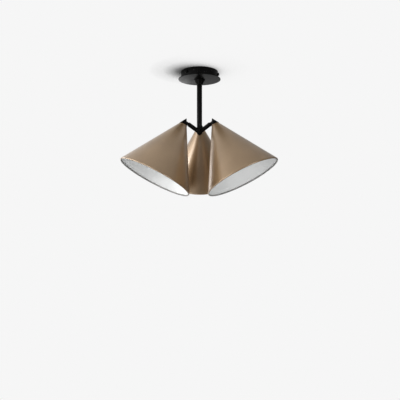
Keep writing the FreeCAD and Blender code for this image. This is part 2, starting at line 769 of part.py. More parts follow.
def make_spindle(side, azimuth):
    """Make one swivel spindle: a hollow shaft with a stop slot, fixed crosswise in the shade's cap."""
    seat = "Dim.arm_reach - Dim.spindle_seat"
    end = "Dim.arm_reach + Dim.spindle_past"
    bore_end = "Dim.arm_reach + Dim.spindle_bore / 2"
    spindle = turned(f"{side}_spindle", [
        ("Place.spindle_start", "Dim.spindle_bore / 2"),
        (bore_end, "Dim.spindle_bore / 2"),
        (bore_end, "0"),
        (end, "0"),
        (end, "Dim.spindle_spigot / 2"),
        (seat, "Dim.spindle_spigot / 2"),
        (seat, "Dim.spindle_diameter / 2"),
        ("Place.spindle_start", "Dim.spindle_diameter / 2"),
    ], "H_Axis")
    wire_exit = add_sketch(spindle, f"{side}_spindle_wire_exit", "XY_Plane")
    circle(wire_exit, "Dim.arm_reach", "0", "Dim.spindle_bore / 2 - Dim.hole_clearance")
    pocket(spindle, f"{side}_spindle_wire_hole", wire_exit, "Dim.spindle_spigot / 2")
    first = "Place.stop_line - Place.stop_width / 2"
    last = "Place.stop_line + Place.stop_width / 2"
    tip_angle = "asin((Dim.grub_tip / 2 + Dim.stop_clearance) / Place.stop_floor)"
    turned_cut(spindle, f"{side}_spindle_stop_slot", [
        (first, "-Dim.spindle_diameter"),
        (last, "-Dim.spindle_diameter"),
        (last, "-Place.stop_floor"),
        (first, "-Place.stop_floor"),
    ], "H_Axis", f"2 * (Dim.turn_limit * 1 deg + {tip_angle})")
    sub_part(spindle, arm_frame(azimuth))


def make_cap(side, azimuth):
    """Make one pointed cap: a turned cone with a threaded stud below and a cross hole for the spindle."""
    tip_centre = "Dim.pivot_drop + (Dim.cap_proud - Dim.cap_tip) / Place.lean_sin"
    tip_edge = f"{tip_centre} + Dim.cap_tip * Place.lean_sin"
    base_radius = "Dim.cap_depth * Place.slope + Dim.cap_proud / Place.lean_cos"
    stud_end = "Place.cap_base - Dim.stud_length"
    cap = turned(f"{side}_cap", [
        ("Dim.stud_bore / 2", stud_end),
        ("Dim.stud_diameter / 2", stud_end),
        ("Dim.stud_diameter / 2", "Place.cap_base"),
        (base_radius, "Place.cap_base"),
        ("Dim.cap_tip * Place.lean_cos", tip_edge, "Dim.cap_tip", LEFT_BEND),
        ("0", f"{tip_centre} + Dim.cap_tip"),
        ("0", "0"),
        ("Dim.stud_bore / 2", "0"),
    ])
    mouth = "-(Dim.spindle_seat + Dim.cap_depth)"
    counterbore = "Dim.spindle_diameter / 2 + Dim.thread_clearance"
    cross_hole = "Dim.spindle_spigot / 2 + Dim.thread_clearance"
    end = "Dim.spindle_past + Dim.hole_clearance"
    turned_cut(cap, f"{side}_cap_cross_hole", [
        (mouth, "0"),
        (end, "0"),
        (end, cross_hole),
        ("-Dim.spindle_seat", cross_hole),
        ("-Dim.spindle_seat", counterbore),
        (mouth, counterbore),
    ], "H_Axis")
    sub_part(cap, shade_frame(azimuth))


def make_shade(side, azimuth):
    """Make one spun cone with a flat crown and an inward rolled rim, and the washer and nut that hold it."""
    roll = "(Dim.rim_roll / 2)"
    roll_out = f"(Dim.rim_diameter / 2 - {roll} * Place.lean_cos)"
    roll_up = f"(Place.rim_level - {roll} * Place.lean_sin)"
    inset = f"({roll} - Dim.shade_wall)"
    rise = f"sqrt({roll} ^ 2 - {inset} ^ 2)"
    meet_out = f"{roll_out} + {inset} * Place.lean_cos - {rise} * Place.lean_sin"
    meet_up = f"{roll_up} + {inset} * Place.lean_sin + {rise} * Place.lean_cos"
    inner_out = f"{roll_out} - {roll} * Place.lean_cos"
    inner_up = f"{roll_up} - {roll} * Place.lean_sin"
    lower_out = f"{roll_out} + {roll} * Place.lean_sin"
    lower_up = f"{roll_up} - {roll} * Place.lean_cos"
    shade = turned(f"{side}_shade", [
        ("Place.stud_hole", "Place.washer_top"),
        ("Place.crown_inside", "Place.washer_top"),
        (meet_out, meet_up, roll, LEFT_BEND),
        (inner_out, inner_up, roll, LEFT_BEND),
        (lower_out, lower_up, roll, LEFT_BEND),
        ("Dim.rim_diameter / 2", "Place.rim_level"),
        ("Dim.cap_depth * Place.slope", "Place.cap_base"),
        ("Place.stud_hole", "Place.cap_base"),
    ])
    sub_part(shade, shade_frame(azimuth))
    washer = turned(f"{side}_shade_washer", [
        ("Place.stud_hole", "Place.nut_top"),
        ("Place.washer_radius", "Place.nut_top"),
        ("Place.washer_radius", "Place.washer_top"),
        ("Place.stud_hole", "Place.washer_top"),
    ])
    sub_part(washer, shade_frame(azimuth))
    nut = new_body(f"{side}_shade_nut")
    sketch = add_sketch(nut, f"{side}_shade_nut_outline", "XY_Plane", at_height("Place.holder_top"))
    hexagon(sketch, "Dim.shade_nut_flats")
    circle(sketch, "0", "0", "Place.stud_thread")
    pad(nut, f"{side}_shade_nut_pad", sketch, "Dim.shade_nut_height")
    sub_part(nut, shade_frame(azimuth))


def make_lampholder(side, azimuth):
    """Make one lampholder that screws on the cap's stud, with its screw shell."""
    neck_end = "Place.holder_top - Dim.holder_neck_length"
    shoulder_end = "Place.holder_top - Dim.holder_neck_length - Dim.holder_shoulder"
    stud_end = "Place.cap_base - Dim.stud_length - Dim.stop_clearance"
    socket = "Dim.socket_diameter / 2 + Dim.thread_clearance"
    holder = turned(f"{side}_lampholder", [
        ("Place.stud_thread", "Place.holder_top"),
        ("Place.stud_thread", stud_end),
        ("Dim.wire_bore / 2", stud_end),
        ("Dim.wire_bore / 2", "Place.socket_floor"),
        (socket, "Place.socket_floor"),
        (socket, "Place.holder_mouth"),
        ("Dim.holder_diameter / 2", "Place.holder_mouth"),
        ("Dim.holder_diameter / 2", shoulder_end),
        ("Dim.holder_neck / 2", neck_end),
        ("Dim.holder_neck / 2", "Place.holder_top"),
    ])
    sub_part(holder, shade_frame(azimuth))
    shell_low = "Place.holder_mouth + Dim.socket_lead"
    shell = turned(f"{side}_socket_shell", [
        ("Dim.socket_diameter / 2 - Dim.socket_wall", shell_low),
        ("Dim.socket_diameter / 2", shell_low),
        ("Dim.socket_diameter / 2", "Place.socket_floor"),
        ("Dim.socket_diameter / 2 - Dim.socket_wall", "Place.socket_floor"),
    ])
    sub_part(shell, shade_frame(azimuth))


def make_bulb(side, azimuth):
    """Make one small round bulb: a screw cap with its contact and flange, and the opal globe."""
    cap_top = "Place.bulb_seat + Dim.bulb_cap_length"
    cap = turned(f"{side}_bulb_cap", [
        ("0", "Place.glass_seat"),
        ("Dim.bulb_flange / 2", "Place.glass_seat"),
        ("Dim.bulb_flange / 2", "Place.bulb_seat"),
        ("Dim.bulb_cap_diameter / 2", "Place.bulb_seat"),
        ("Dim.bulb_cap_diameter / 2", cap_top),
        ("Dim.bulb_contact / 2", cap_top),
        ("Dim.bulb_contact / 2", f"{cap_top} + Dim.bulb_contact_height"),
        ("0", f"{cap_top} + Dim.bulb_contact_height"),
    ])
    sub_part(cap, shade_frame(azimuth))
    outer = "Dim.bulb_diameter / 2"
    inner = "(Dim.bulb_diameter / 2 - Dim.bulb_glass)"
    neck_outer = "Dim.bulb_neck / 2"
    neck_inner = "(Dim.bulb_neck / 2 - Dim.bulb_glass)"
    globe = turned(f"{side}_bulb_globe", [
        (neck_inner, "Place.glass_seat"),
        (neck_inner, f"Place.glass_centre + sqrt({inner} ^ 2 - {neck_inner} ^ 2)", inner, RIGHT_BEND),
        ("0", f"Place.glass_centre - {inner}"),
        ("0", f"Place.glass_centre - {outer}", outer, LEFT_BEND),
        (neck_outer, f"Place.glass_centre + sqrt(({outer}) ^ 2 - ({neck_outer}) ^ 2)"),
        (neck_outer, "Place.glass_seat"),
    ])
    sub_part(globe, shade_frame(azimuth))


def check_cuts():
    """Stop if a cut took nothing away."""
    for item in doc.Objects:
        base = getattr(item, "BaseFeature", None)
        cutting = item.TypeId in CUTTING_FEATURES
        if cutting and base and item.Shape.Volume > base.Shape.Volume - LEAST_CUT:
            raise RuntimeError(f"{item.Name} cuts nothing")


def check_objects():
    """Stop if an object failed or a piece's shape is missing or wrong."""
    for item in doc.Objects:
        if {"Invalid", "Error"} & set(item.State):
            raise RuntimeError(f"{item.Name} failed: {item.State}")
    for piece in sub_parts:
        if piece.Shape.isNull() or not piece.Shape.isValid() or not piece.Shape.Solids:
            raise RuntimeError(f"{piece.Label} has no valid solid")


def write_parts():
    """Write each piece to a file named for its label."""
    os.makedirs("parts", exist_ok=True)
    for piece in sub_parts:
        piece.Shape.exportStep(os.path.join("parts", piece.Label + ".step"))
        box = piece.Shape.BoundBox
        print(f"{piece.Label}: {len(piece.Shape.Solids)} solid, {piece.Shape.Volume:.0f} mm3, "
              f"z {box.ZMin:.1f} to {box.ZMax:.1f}")


def main():
    """Build every piece in turn, from the ceiling down."""
    make_rose()
    make_bracket()
    make_side_screws()
    make_earth_terminal()
    make_connector()
    make_stem()
    make_hub()
    make_grub_screws()
    for side, azimuth in LAMP_AZIMUTHS.items():
        make_arm(side, azimuth)
        make_spindle(side, azimuth)
        make_cap(side, azimuth)
        make_shade(side, azimuth)
        make_lampholder(side, azimuth)
        make_bulb(side, azimuth)
    doc.recompute()
    check_objects()
    check_cuts()
    write_parts()


main()
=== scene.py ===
# %% [markdown]
# A ceiling light with three cones. A black rose sits against the ceiling, a thin stem drops from it to a
# small hub, and three arms rise from the hub. Each arm ends in a swivel that carries a spun metal cone,
# bronze outside and white inside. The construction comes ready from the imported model. This lesson gives
# it its looks: finer turned pieces where the eye rests, and a finish for every surface.

# %% Load the construction and keep its box
import json
import math

import bmesh
import bpy
from mathutils import Matrix, Vector


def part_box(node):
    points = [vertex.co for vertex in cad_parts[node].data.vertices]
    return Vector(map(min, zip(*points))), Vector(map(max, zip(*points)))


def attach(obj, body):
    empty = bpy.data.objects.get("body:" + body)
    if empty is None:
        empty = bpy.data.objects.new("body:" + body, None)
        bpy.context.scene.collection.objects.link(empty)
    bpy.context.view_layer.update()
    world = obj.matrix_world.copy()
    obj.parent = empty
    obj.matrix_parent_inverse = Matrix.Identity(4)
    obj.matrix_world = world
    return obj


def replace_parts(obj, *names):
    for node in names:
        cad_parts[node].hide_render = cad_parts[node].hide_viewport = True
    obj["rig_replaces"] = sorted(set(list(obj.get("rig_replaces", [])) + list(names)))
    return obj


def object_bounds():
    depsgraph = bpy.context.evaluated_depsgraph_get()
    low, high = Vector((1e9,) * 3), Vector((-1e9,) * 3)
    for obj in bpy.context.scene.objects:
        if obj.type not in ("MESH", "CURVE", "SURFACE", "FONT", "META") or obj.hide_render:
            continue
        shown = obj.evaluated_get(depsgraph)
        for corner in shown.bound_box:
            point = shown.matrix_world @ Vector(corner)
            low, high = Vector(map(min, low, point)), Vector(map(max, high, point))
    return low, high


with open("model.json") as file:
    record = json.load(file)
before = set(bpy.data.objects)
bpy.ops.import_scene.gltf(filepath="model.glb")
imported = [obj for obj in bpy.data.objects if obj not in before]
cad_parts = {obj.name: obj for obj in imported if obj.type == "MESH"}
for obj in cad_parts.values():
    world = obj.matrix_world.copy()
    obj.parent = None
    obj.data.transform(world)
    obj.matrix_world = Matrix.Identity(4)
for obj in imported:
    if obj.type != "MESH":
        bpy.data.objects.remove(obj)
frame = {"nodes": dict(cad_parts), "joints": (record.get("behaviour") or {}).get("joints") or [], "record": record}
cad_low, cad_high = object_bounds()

MM = 0.001
FIXED_BODY = "ceiling_frame"


def in_mm(*lengths):
    """Lengths in millimetres, rounded for print."""
    return [round(length / MM, 2) for length in lengths]


print("box of the construction in mm:", in_mm(*cad_low, *cad_high))

# %% [markdown]
# Each lamp turns about its arm, so the joint already says where the arm starts and where it points. A
# place is a matrix: its X axis runs along the arm and its Z axis runs up the cone. Reading it from the
# joint keeps the dressed pieces on the construction without any fitting by eye.

# %% Work out the place of each arm and lamp
ARM_REACH = 53.9 * MM
UP = Vector((0, 0, 1))
HERE = Matrix.Identity(4)
LAY_ALONG_X = Matrix.Rotation(math.pi / 2, 4, "Y")


def arm_place(joint):
    """A place at the hub with X along the arm and Z up the axis of its cone."""
    along = Vector(joint["axis"]).normalized()
    across = UP.cross(along).normalized()
    place = Matrix((along, across, along.cross(across))).transposed().to_4x4()
    place.translation = Vector(joint["pos_m"])
    return place


arm_places = {joint["child"].split("_")[0]: arm_place(joint) for joint in frame["joints"]}
to_the_lamp = Matrix.Translation((ARM_REACH, 0, 0))
lamp_places = {side: place @ to_the_lamp for side, place in arm_places.items()}
for side, place in lamp_places.items():
    print(side, "lamp hangs at", in_mm(*place.translation))

# %% [markdown]
# A turned piece is known by its largest radius and by its two ends along its axis. They are measured on
# the construction's own mesh, so a change of size there reaches the dressed piece by itself.

# %% Measure a turned piece of the construction


def turned_size(node, place):
    """Largest radius about the place's Z axis, with the lowest and the highest level along it."""
    into = place.inverted()
    spots = [into @ vertex.co for vertex in frame["nodes"][node].data.vertices]
    levels = [spot.z for spot in spots]
    return max(spot.xy.length for spot in spots), min(levels), max(levels)


shade_radius, shade_low, shade_crown = turned_size("left_shade", lamp_places["left"])
print("cone in mm, its radius and its two levels:", in_mm(shade_radius, shade_low, shade_crown))

# %% [markdown]
# Finishes come first, because the turned pieces take them as inputs. Small helpers keep each recipe
# short: a cloud of noise on Object coordinates, a blend of two tones, a range of numbers, and a bump.
# Object coordinates are in metres here, so a scale of 1000 means a grain of about one millimetre.

# %% Helpers that make single nodes


def wire(tree, source, target):
    """Join two sockets."""
    tree.links.new(source, target)


def calc(tree, operation, *terms):
    """A Math node on numbers or sockets; gives its result socket."""
    node = tree.nodes.new("ShaderNodeMath")
    node.operation = operation
    for entry, term in zip(node.inputs, terms):
        if isinstance(term, (int, float)):
            entry.default_value = term
        else:
            wire(tree, term, entry)
    return node.outputs["Value"]


def blend(tree, first, second, share):
    """Two numbers mixed, with the given share of the first."""
    first, second = calc(tree, "MULTIPLY", first, share), calc(tree, "MULTIPLY", second, 1 - share)
    return calc(tree, "ADD", first, second)


def object_place(tree, stretch=(1, 1, 1)):
    """Object coordinates, stretched along the axes."""
    place = tree.nodes.new("ShaderNodeTexCoord")
    mapping = tree.nodes.new("ShaderNodeMapping")
    mapping.inputs["Scale"].default_value = stretch
    wire(tree, place.outputs["Object"], mapping.inputs["Vector"])
    return mapping.outputs["Vector"]


def cloud(tree, scale, detail=3.0, stretch=(1, 1, 1)):
    """Noise on Object coordinates."""
    noise = tree.nodes.new("ShaderNodeTexNoise")
    noise.inputs["Scale"].default_value = scale
    noise.inputs["Detail"].default_value = detail
    wire(tree, object_place(tree, stretch), noise.inputs["Vector"])
    return noise.outputs["Fac"]


def cells(tree, scale):
    """A random number for each cell of a crystal pattern on Object coordinates."""
    pattern = tree.nodes.new("ShaderNodeTexVoronoi")
    pattern.inputs["Scale"].default_value = scale
    wire(tree, object_place(tree), pattern.inputs["Vector"])
    split = tree.nodes.new("ShaderNodeSeparateColor")
    wire(tree, pattern.outputs["Color"], split.inputs["Color"])
    return split.outputs["Red"]


print("node helpers ready")

# %% [markdown]
# Most finishes here are alike in one way: their tone and their gloss drift a little from place to place,
# each in clouds of its own size, because no real coat is even. So one helper makes that start, and each
# recipe adds what is its own. A number that is the same all over a surface is set straight on the shader.

# %% Helpers for the recipes of finishes
NOISE_LOW, NOISE_HIGH = 0.3, 0.7
# A Mix node has one set of sockets for each kind of data, so those for colours are known by number.
MIX_FACTOR, MIX_DARK, MIX_LIGHT, MIX_COLOUR = 0, 6, 7, 2


def new_finish(name):
    """A new finish with its node tree and its main shader."""
    finish = bpy.data.materials.new(name)
    finish.use_nodes = True
    return finish, finish.node_tree, finish.node_tree.nodes["Principled BSDF"]


def set_all_over(shader, **numbers):
    """Set what is the same all over the surface; underscores in the names are spaces."""
    for label, number in numbers.items():
        shader.inputs[label.replace("_", " ")].default_value = number


def spread(tree, factor, low, high, start=NOISE_LOW, end=NOISE_HIGH):
    """The factor's usual range, stretched from low to high."""
    node = tree.nodes.new("ShaderNodeMapRange")
    for name, value in (("From Min", start), ("From Max", end), ("To Min", low), ("To Max", high)):
        node.inputs[name].default_value = value
    wire(tree, factor, node.inputs["Value"])
    return node.outputs["Result"]


def two_tones(tree, factor, dark, light):
    """A blend from the dark tone to the light one."""
    mix = tree.nodes.new("ShaderNodeMix")
    mix.data_type = "RGBA"
    mix.inputs[MIX_DARK].default_value = (*dark, 1)
    mix.inputs[MIX_LIGHT].default_value = (*light, 1)
    wire(tree, spread(tree, factor, 0, 1), mix.inputs[MIX_FACTOR])
    return mix.outputs[MIX_COLOUR]


def drifting(name, tones, tone_scale, gloss, gloss_scale):
    """A finish whose tone and roughness drift between two values, each in clouds of its own scale."""
    finish, tree, shader = new_finish(name)
    wire(tree, two_tones(tree, cloud(tree, tone_scale), *tones), shader.inputs["Base Color"])
    wire(tree, spread(tree, cloud(tree, gloss_scale), *gloss), shader.inputs["Roughness"])
    return finish, tree, shader


def roughen(tree, shader, height, depth):
    """A bump of the given depth in metres under the shader."""
    bump = tree.nodes.new("ShaderNodeBump")
    bump.inputs["Strength"].default_value = 1.0
    bump.inputs["Distance"].default_value = depth
    wire(tree, height, bump.inputs["Height"])
    wire(tree, bump.outputs["Normal"], shader.inputs["Normal"])


print("recipe helpers ready")

# %% [markdown]
# The black of the rose, stem, hub, arms and caps is a satin powder coat. Baked powder keeps a very fine
# orange-peel skin, so its gloss breaks up a little. The noise drives the bump and the roughness, and the
# colour barely moves, because a black coat hides its own unevenness.

# %% Satin black powder coat


def satin_black_coat():
    """Nearly black, with a weak satin gloss."""
    finish, tree, shader = drifting(
        "satin_black_coat", tones=((0.0024, 0.0023, 0.0023), (0.0042, 0.0040, 0.0040)), tone_scale=60,
        gloss=(0.28, 0.36), gloss_scale=240)
    set_all_over(shader, Specular_IOR_Level=0.055)
    roughen(tree, shader, cloud(tree, 1500, detail=2.0), depth=0.003 * MM)
    return finish


black_coat = satin_black_coat()
print("made", black_coat.name)

# %% [markdown]
# The cones wear a bronze metallic paint: a brown lacquer with fine metal flakes under a satin clear coat.
# The flakes are tiny cells of slightly different tone, and the spinning of the cone leaves faint rings
# under the paint. The rings follow the surface, so they read an attribute with the distance along the
# profile.

# %% Bronze paint with flakes and faint spinning rings
FLAKES_IN_TONE = 0.35
FLAKES_IN_SKIN = 0.3


def rings(tree, per_metre):
    """Noise along the profile of a turned piece, in rings round its axis."""
    along = tree.nodes.new("ShaderNodeAttribute")
    along.attribute_name = "along"
    noise = tree.nodes.new("ShaderNodeTexNoise")
    noise.noise_dimensions = "1D"
    noise.inputs["Scale"].default_value = per_metre
    noise.inputs["Detail"].default_value = 2.0
    wire(tree, along.outputs["Fac"], noise.inputs["W"])
    return noise.outputs["Fac"]


def bronze_paint_coat():
    """Part metal and part lacquer, under a clear coat."""
    finish, tree, shader = new_finish("bronze_paint_coat")
    flakes = cells(tree, 3200)
    tone = blend(tree, flakes, cloud(tree, 18), FLAKES_IN_TONE)
    tone = two_tones(tree, tone, (0.322, 0.203, 0.099), (0.400, 0.260, 0.133))
    wire(tree, tone, shader.inputs["Base Color"])
    wire(tree, spread(tree, rings(tree, 900), 0.36, 0.43), shader.inputs["Roughness"])
    set_all_over(shader, Metallic=0.62, Specular_Tint=(0.55, 0.50, 0.45, 1), Coat_Weight=1.0, Coat_IOR=2.0,
                 Coat_Roughness=0.29)
    skin = calc(tree, "ADD", rings(tree, 500), calc(tree, "MULTIPLY", flakes, FLAKES_IN_SKIN))
    roughen(tree, shader, skin, depth=0.004 * MM)
    return finish


bronze_paint = bronze_paint_coat()
print("made", bronze_paint.name)

# %% [markdown]
# The inner half of each rolled edge is a thin grey line between the bronze and the white. The grey is
# painted shade: it stands for the shade along the underside of the rim. It is matt, and a matt edge also
# keeps stray glints off the white inside. Faint scuffs along the edge come from noise.

# %% Painted shade: the matt grey of the rolled edges


def shaded_edge_grey():
    """A matt grey with a fine tooth, which stands for the shade along the underside of the rim."""
    finish, tree, shader = drifting(
        "shaded_edge_grey", tones=((0.25, 0.245, 0.238), (0.35, 0.343, 0.333)), tone_scale=160,
        gloss=(0.82, 0.95), gloss_scale=900)
    roughen(tree, shader, cloud(tree, 2400, detail=2.0), depth=0.004 * MM)
    return finish


edge_shade_grey = shaded_edge_grey()
print("made", edge_shade_grey.name)

# %% [markdown]
# Inside, the cones are sprayed white to throw the light down. The spray is a soft semi-matt paint, so it
# gets a broad faint cloudiness in tone and a fine skin.

# %% White paint inside the cones


def white_spray():
    """A semi-matt white with a fine skin."""
    finish, tree, shader = drifting(
        "white_spray", tones=((0.828, 0.836, 0.830), (0.864, 0.872, 0.866)), tone_scale=25,
        gloss=(0.42, 0.52), gloss_scale=300)
    roughen(tree, shader, cloud(tree, 1200, detail=2.0), depth=0.008 * MM)
    return finish


white_paint = white_spray()
print("made", white_paint.name)

# %% [markdown]
# The hidden fittings are bare metal. Zinc plating shows patches of crystals that catch the light
# differently, turned brass and nickel show fine tool lines and some dulling, and blackened steel is dark
# with oily variation. One recipe takes the tones and the grain, since only these differ.

# %% Bare metals of the fittings
GLOSS_DRIFT = 0.16
PATCHES_IN_TONE = 0.5
PATCHES_PER_CLOUD = 4
LINES_PER_PATCH = 3
TOOL_LINES = (1, 1, 6)


def bare_metal(name, dark, light, rough, grain):
    """A metal with crystals or tool marks of the given grain per metre."""
    finish, tree, shader = new_finish(name)
    patches = cells(tree, grain)
    tone = blend(tree, patches, cloud(tree, grain / PATCHES_PER_CLOUD), PATCHES_IN_TONE)
    wire(tree, two_tones(tree, tone, dark, light), shader.inputs["Base Color"])
    wire(tree, spread(tree, patches, rough, rough + GLOSS_DRIFT, 0, 1), shader.inputs["Roughness"])
    set_all_over(shader, Metallic=1.0)
    lines = cloud(tree, grain * LINES_PER_PATCH, detail=2.0, stretch=TOOL_LINES)
    roughen(tree, shader, lines, depth=0.006 * MM)
    return finish


zinc_plate = bare_metal("zinc_plate", (0.52, 0.53, 0.55), (0.70, 0.71, 0.72), rough=0.28, grain=420)
turned_brass = bare_metal("turned_brass", (0.66, 0.46, 0.18), (0.82, 0.62, 0.30), rough=0.24, grain=700)
dull_nickel = bare_metal("dull_nickel", (0.60, 0.58, 0.54), (0.74, 0.72, 0.68), rough=0.22, grain=700)
black_steel = bare_metal("blackened_steel", (0.030, 0.030, 0.032), (0.060, 0.060, 0.064), rough=0.34,
                         grain=600)
print("made", [metal.name for metal in (zinc_plate, turned_brass, dull_nickel, black_steel)])

# %% [markdown]
# The lampholders and the connector are moulded plastic: nearly white, faintly warm, with a fine
# spark-eroded grain from the mould. The bulbs are opal glass, which glows a little as light scatters
# inside it, so it takes some subsurface light under a smooth coat.

# %% Moulded plastic and opal glass


def moulded_plastic():
    """A warm white with the grain of its mould."""
    finish, tree, shader = drifting(
        "moulded_plastic", tones=((0.74, 0.73, 0.70), (0.82, 0.81, 0.78)), tone_scale=90,
        gloss=(0.38, 0.5), gloss_scale=700)
    roughen(tree, shader, cloud(tree, 2600, detail=1.0), depth=0.01 * MM)
    return finish


def opal_bulb_glass():
    """A milky glass with light inside it."""
    finish, tree, shader = drifting(
        "opal_bulb_glass", tones=((0.84, 0.84, 0.82), (0.89, 0.89, 0.87)), tone_scale=40,
        gloss=(0.16, 0.24), gloss_scale=120)
    set_all_over(shader, Subsurface_Weight=0.35, Subsurface_Radius=(0.004, 0.004, 0.0036), Coat_Weight=0.4,
                 Coat_Roughness=0.08)
    return finish


plastic = moulded_plastic()
opal_glass = opal_bulb_glass()
print("made", plastic.name, "and", opal_glass.name)

# %% [markdown]
# Two trees of Geometry Nodes make the pieces: a lathe, and a ring of copies. Such a tree could be drawn
# by hand in the node editor. Built in the script it can be read next to the pieces that use it, and these
# helpers make each of its nodes a line or two.

# %% Helpers for trees of Geometry Nodes


def new_tree(name, inputs):
    """A tree with a geometry in and out and the named inputs."""
    tree = bpy.data.node_groups.new(name, "GeometryNodeTree")
    tree.interface.new_socket("Geometry", in_out="OUTPUT", socket_type="NodeSocketGeometry")
    tree.interface.new_socket("Geometry", in_out="INPUT", socket_type="NodeSocketGeometry")
    for label, kind in inputs:
        tree.interface.new_socket(label, in_out="INPUT", socket_type="NodeSocket" + kind)
    given = tree.nodes.new("NodeGroupInput").outputs
    return tree, given, tree.nodes.new("NodeGroupOutput").inputs


def step(tree, kind, settings=None, **entries):
    """A node with its settings and entries, numbers or sockets; underscores in entry names are spaces."""
    node = tree.nodes.new(kind)
    for key, value in (settings or {}).items():
        setattr(node, key, value)
    for label, value in entries.items():
        entry = node.inputs[label.replace("_", " ")]
        if isinstance(value, bpy.types.NodeSocket):
            wire(tree, value, entry)
        else:
            entry.default_value = value
    return node


def shaped(tree, kind, shape, settings=None, **entries):
    """What a node makes of a shape."""
    return step(tree, kind, settings, Geometry=shape, **entries).outputs["Geometry"]


def attribute(tree, name):
    """A named number of the geometry."""
    node = step(tree, "GeometryNodeInputNamedAttribute", {"data_type": "FLOAT"}, Name=name)
    return node.outputs["Attribute"]


print("tree helpers ready")

# %% [markdown]
# Almost every visible piece of this light is turned or spun about an axis, so one tree stands for the
# lathe. It takes a profile, a chain of points with the radius in X and the level in Z, and wraps a grid
# round it: each row of the grid follows the profile, and each column is one step round the axis. Two more
# inputs cut flutes along the piece or a thread round it, where the profile asks for them.

# %% Wrap a grid round a profile
TURN = 2 * math.pi
CARRIED = ("along", "lined", "edged")


def wrapped(tree, given):
    """The wrapped grid, which carries some of the profile's numbers with it."""
    profile = given["Geometry"]
    count = step(tree, "GeometryNodeAttributeDomainSize", Geometry=profile).outputs["Point Count"]
    columns = calc(tree, "ADD", given["Segments"], 1)
    grid = step(tree, "GeometryNodeMeshGrid", Vertices_X=columns, Vertices_Y=count).outputs["Mesh"]
    index = tree.nodes.new("GeometryNodeInputIndex").outputs["Index"]
    row = calc(tree, "MODULO", index, count)
    column = calc(tree, "FLOOR", calc(tree, "DIVIDE", index, count))
    angle = calc(tree, "DIVIDE", calc(tree, "MULTIPLY", column, TURN), given["Segments"])

    def on_profile(value, kind="FLOAT"):
        return step(tree, "GeometryNodeSampleIndex", {"data_type": kind}, Geometry=profile, Value=value,
                    Index=row).outputs["Value"]

    spot = tree.nodes.new("GeometryNodeInputPosition").outputs["Position"]
    spot = step(tree, "ShaderNodeSeparateXYZ", Vector=on_profile(spot, "FLOAT_VECTOR")).outputs
    wave = calc(tree, "COSINE", calc(tree, "MULTIPLY", angle, given["Flutes"]))
    flute = calc(tree, "MULTIPLY", calc(tree, "SUBTRACT", wave, 1), 0.5)
    flute = calc(tree, "MULTIPLY", flute, given["Flute depth"])
    flute = calc(tree, "MULTIPLY", flute, on_profile(attribute(tree, "fluted")))
    climb = calc(tree, "MULTIPLY", calc(tree, "DIVIDE", spot["Z"], given["Thread pitch"]), TURN)
    thread = calc(tree, "COSINE", calc(tree, "SUBTRACT", climb, angle))
    thread = calc(tree, "MULTIPLY", thread, given["Thread depth"])
    thread = calc(tree, "MULTIPLY", thread, on_profile(attribute(tree, "threaded")))
    radius = calc(tree, "ADD", spot["X"], calc(tree, "ADD", flute, thread))
    x = calc(tree, "MULTIPLY", radius, calc(tree, "COSINE", angle))
    y = calc(tree, "MULTIPLY", radius, calc(tree, "SINE", angle))
    place = step(tree, "ShaderNodeCombineXYZ", X=x, Y=y, Z=spot["Z"]).outputs["Vector"]
    shape = shaped(tree, "GeometryNodeSetPosition", grid, Position=place)
    for word in CARRIED:
        shape = shaped(tree, "GeometryNodeStoreNamedAttribute", shape,
                       {"data_type": "FLOAT", "domain": "POINT"}, Name=word,
                       Value=on_profile(attribute(tree, word)))
    return shape


print("a wrapped grid carries", CARRIED)

# %% [markdown]
# A wrapped grid still has an open seam, heaps of points at its poles, and facets. Merging closes it and
# smooth shading hides the facets, while edges sharper than a crease keep their corner. Last come the
# finishes. Other finishes may line the inside and the edge, on the faces whose corners are all marked for
# it.

# %% The lathe as a tree
MERGE = 0.001 * MM
CREASE = math.radians(35)
MARKED = 0.99


def make_lathe():
    """The lathe: a profile goes in, and a finished piece comes out."""
    tree, given, out = new_tree("lathe", [
        ("Segments", "Int"), ("Flutes", "Int"), ("Flute depth", "Float"), ("Thread pitch", "Float"),
        ("Thread depth", "Float"), ("Finish", "Material"), ("Lining", "Material"), ("Edge", "Material")])
    shape = shaped(tree, "GeometryNodeMergeByDistance", wrapped(tree, given), Distance=MERGE)
    shape = shaped(tree, "GeometryNodeSetShadeSmooth", shape, {"domain": "FACE"})
    bend = tree.nodes.new("GeometryNodeInputMeshEdgeAngle").outputs["Unsigned Angle"]
    shape = shaped(tree, "GeometryNodeSetShadeSmooth", shape, {"domain": "EDGE"},
                   Selection=calc(tree, "GREATER_THAN", bend, CREASE), Shade_Smooth=False)
    shape = shaped(tree, "GeometryNodeRealizeInstances", shape)
    shape = shaped(tree, "GeometryNodeSetMaterial", shape, Material=given["Finish"])
    for word, label in (("lined", "Lining"), ("edged", "Edge")):
        stretch = calc(tree, "GREATER_THAN", attribute(tree, word), MARKED)
        shape = shaped(tree, "GeometryNodeSetMaterial", shape, Selection=stretch, Material=given[label])
    wire(tree, shape, out["Geometry"])
    return tree


lathe = make_lathe()
print("lathe tree has", len(lathe.nodes), "nodes")

# %% [markdown]
# A profile is written as its corners, each with the radius of its rounding. Real metal has no perfectly
# sharp edges, and a small rounding is what catches the light along a rim. The helper turns each rounded
# corner into a short arc. A tag on a corner says that its stretch is fluted, threaded, lined or an edge.

# %% Profiles with rounded corners
ARC_STEPS = 5
CRISP = 0.2 * MM
BROKEN = 0.3 * MM
EASY = 0.5 * MM


def corner(radius, level, ease=0.0, tag=""):
    """One corner of a profile."""
    return Vector((radius, level)), ease, tag


def arc(centre, radius, start, end, steps, tag=""):
    """Corners along a round stretch, between two angles in radians."""
    angles = [start + (end - start) * number / steps for number in range(steps + 1)]
    return [corner(centre[0] + radius * math.cos(angle), centre[1] + radius * math.sin(angle), 0, tag)
            for angle in angles]


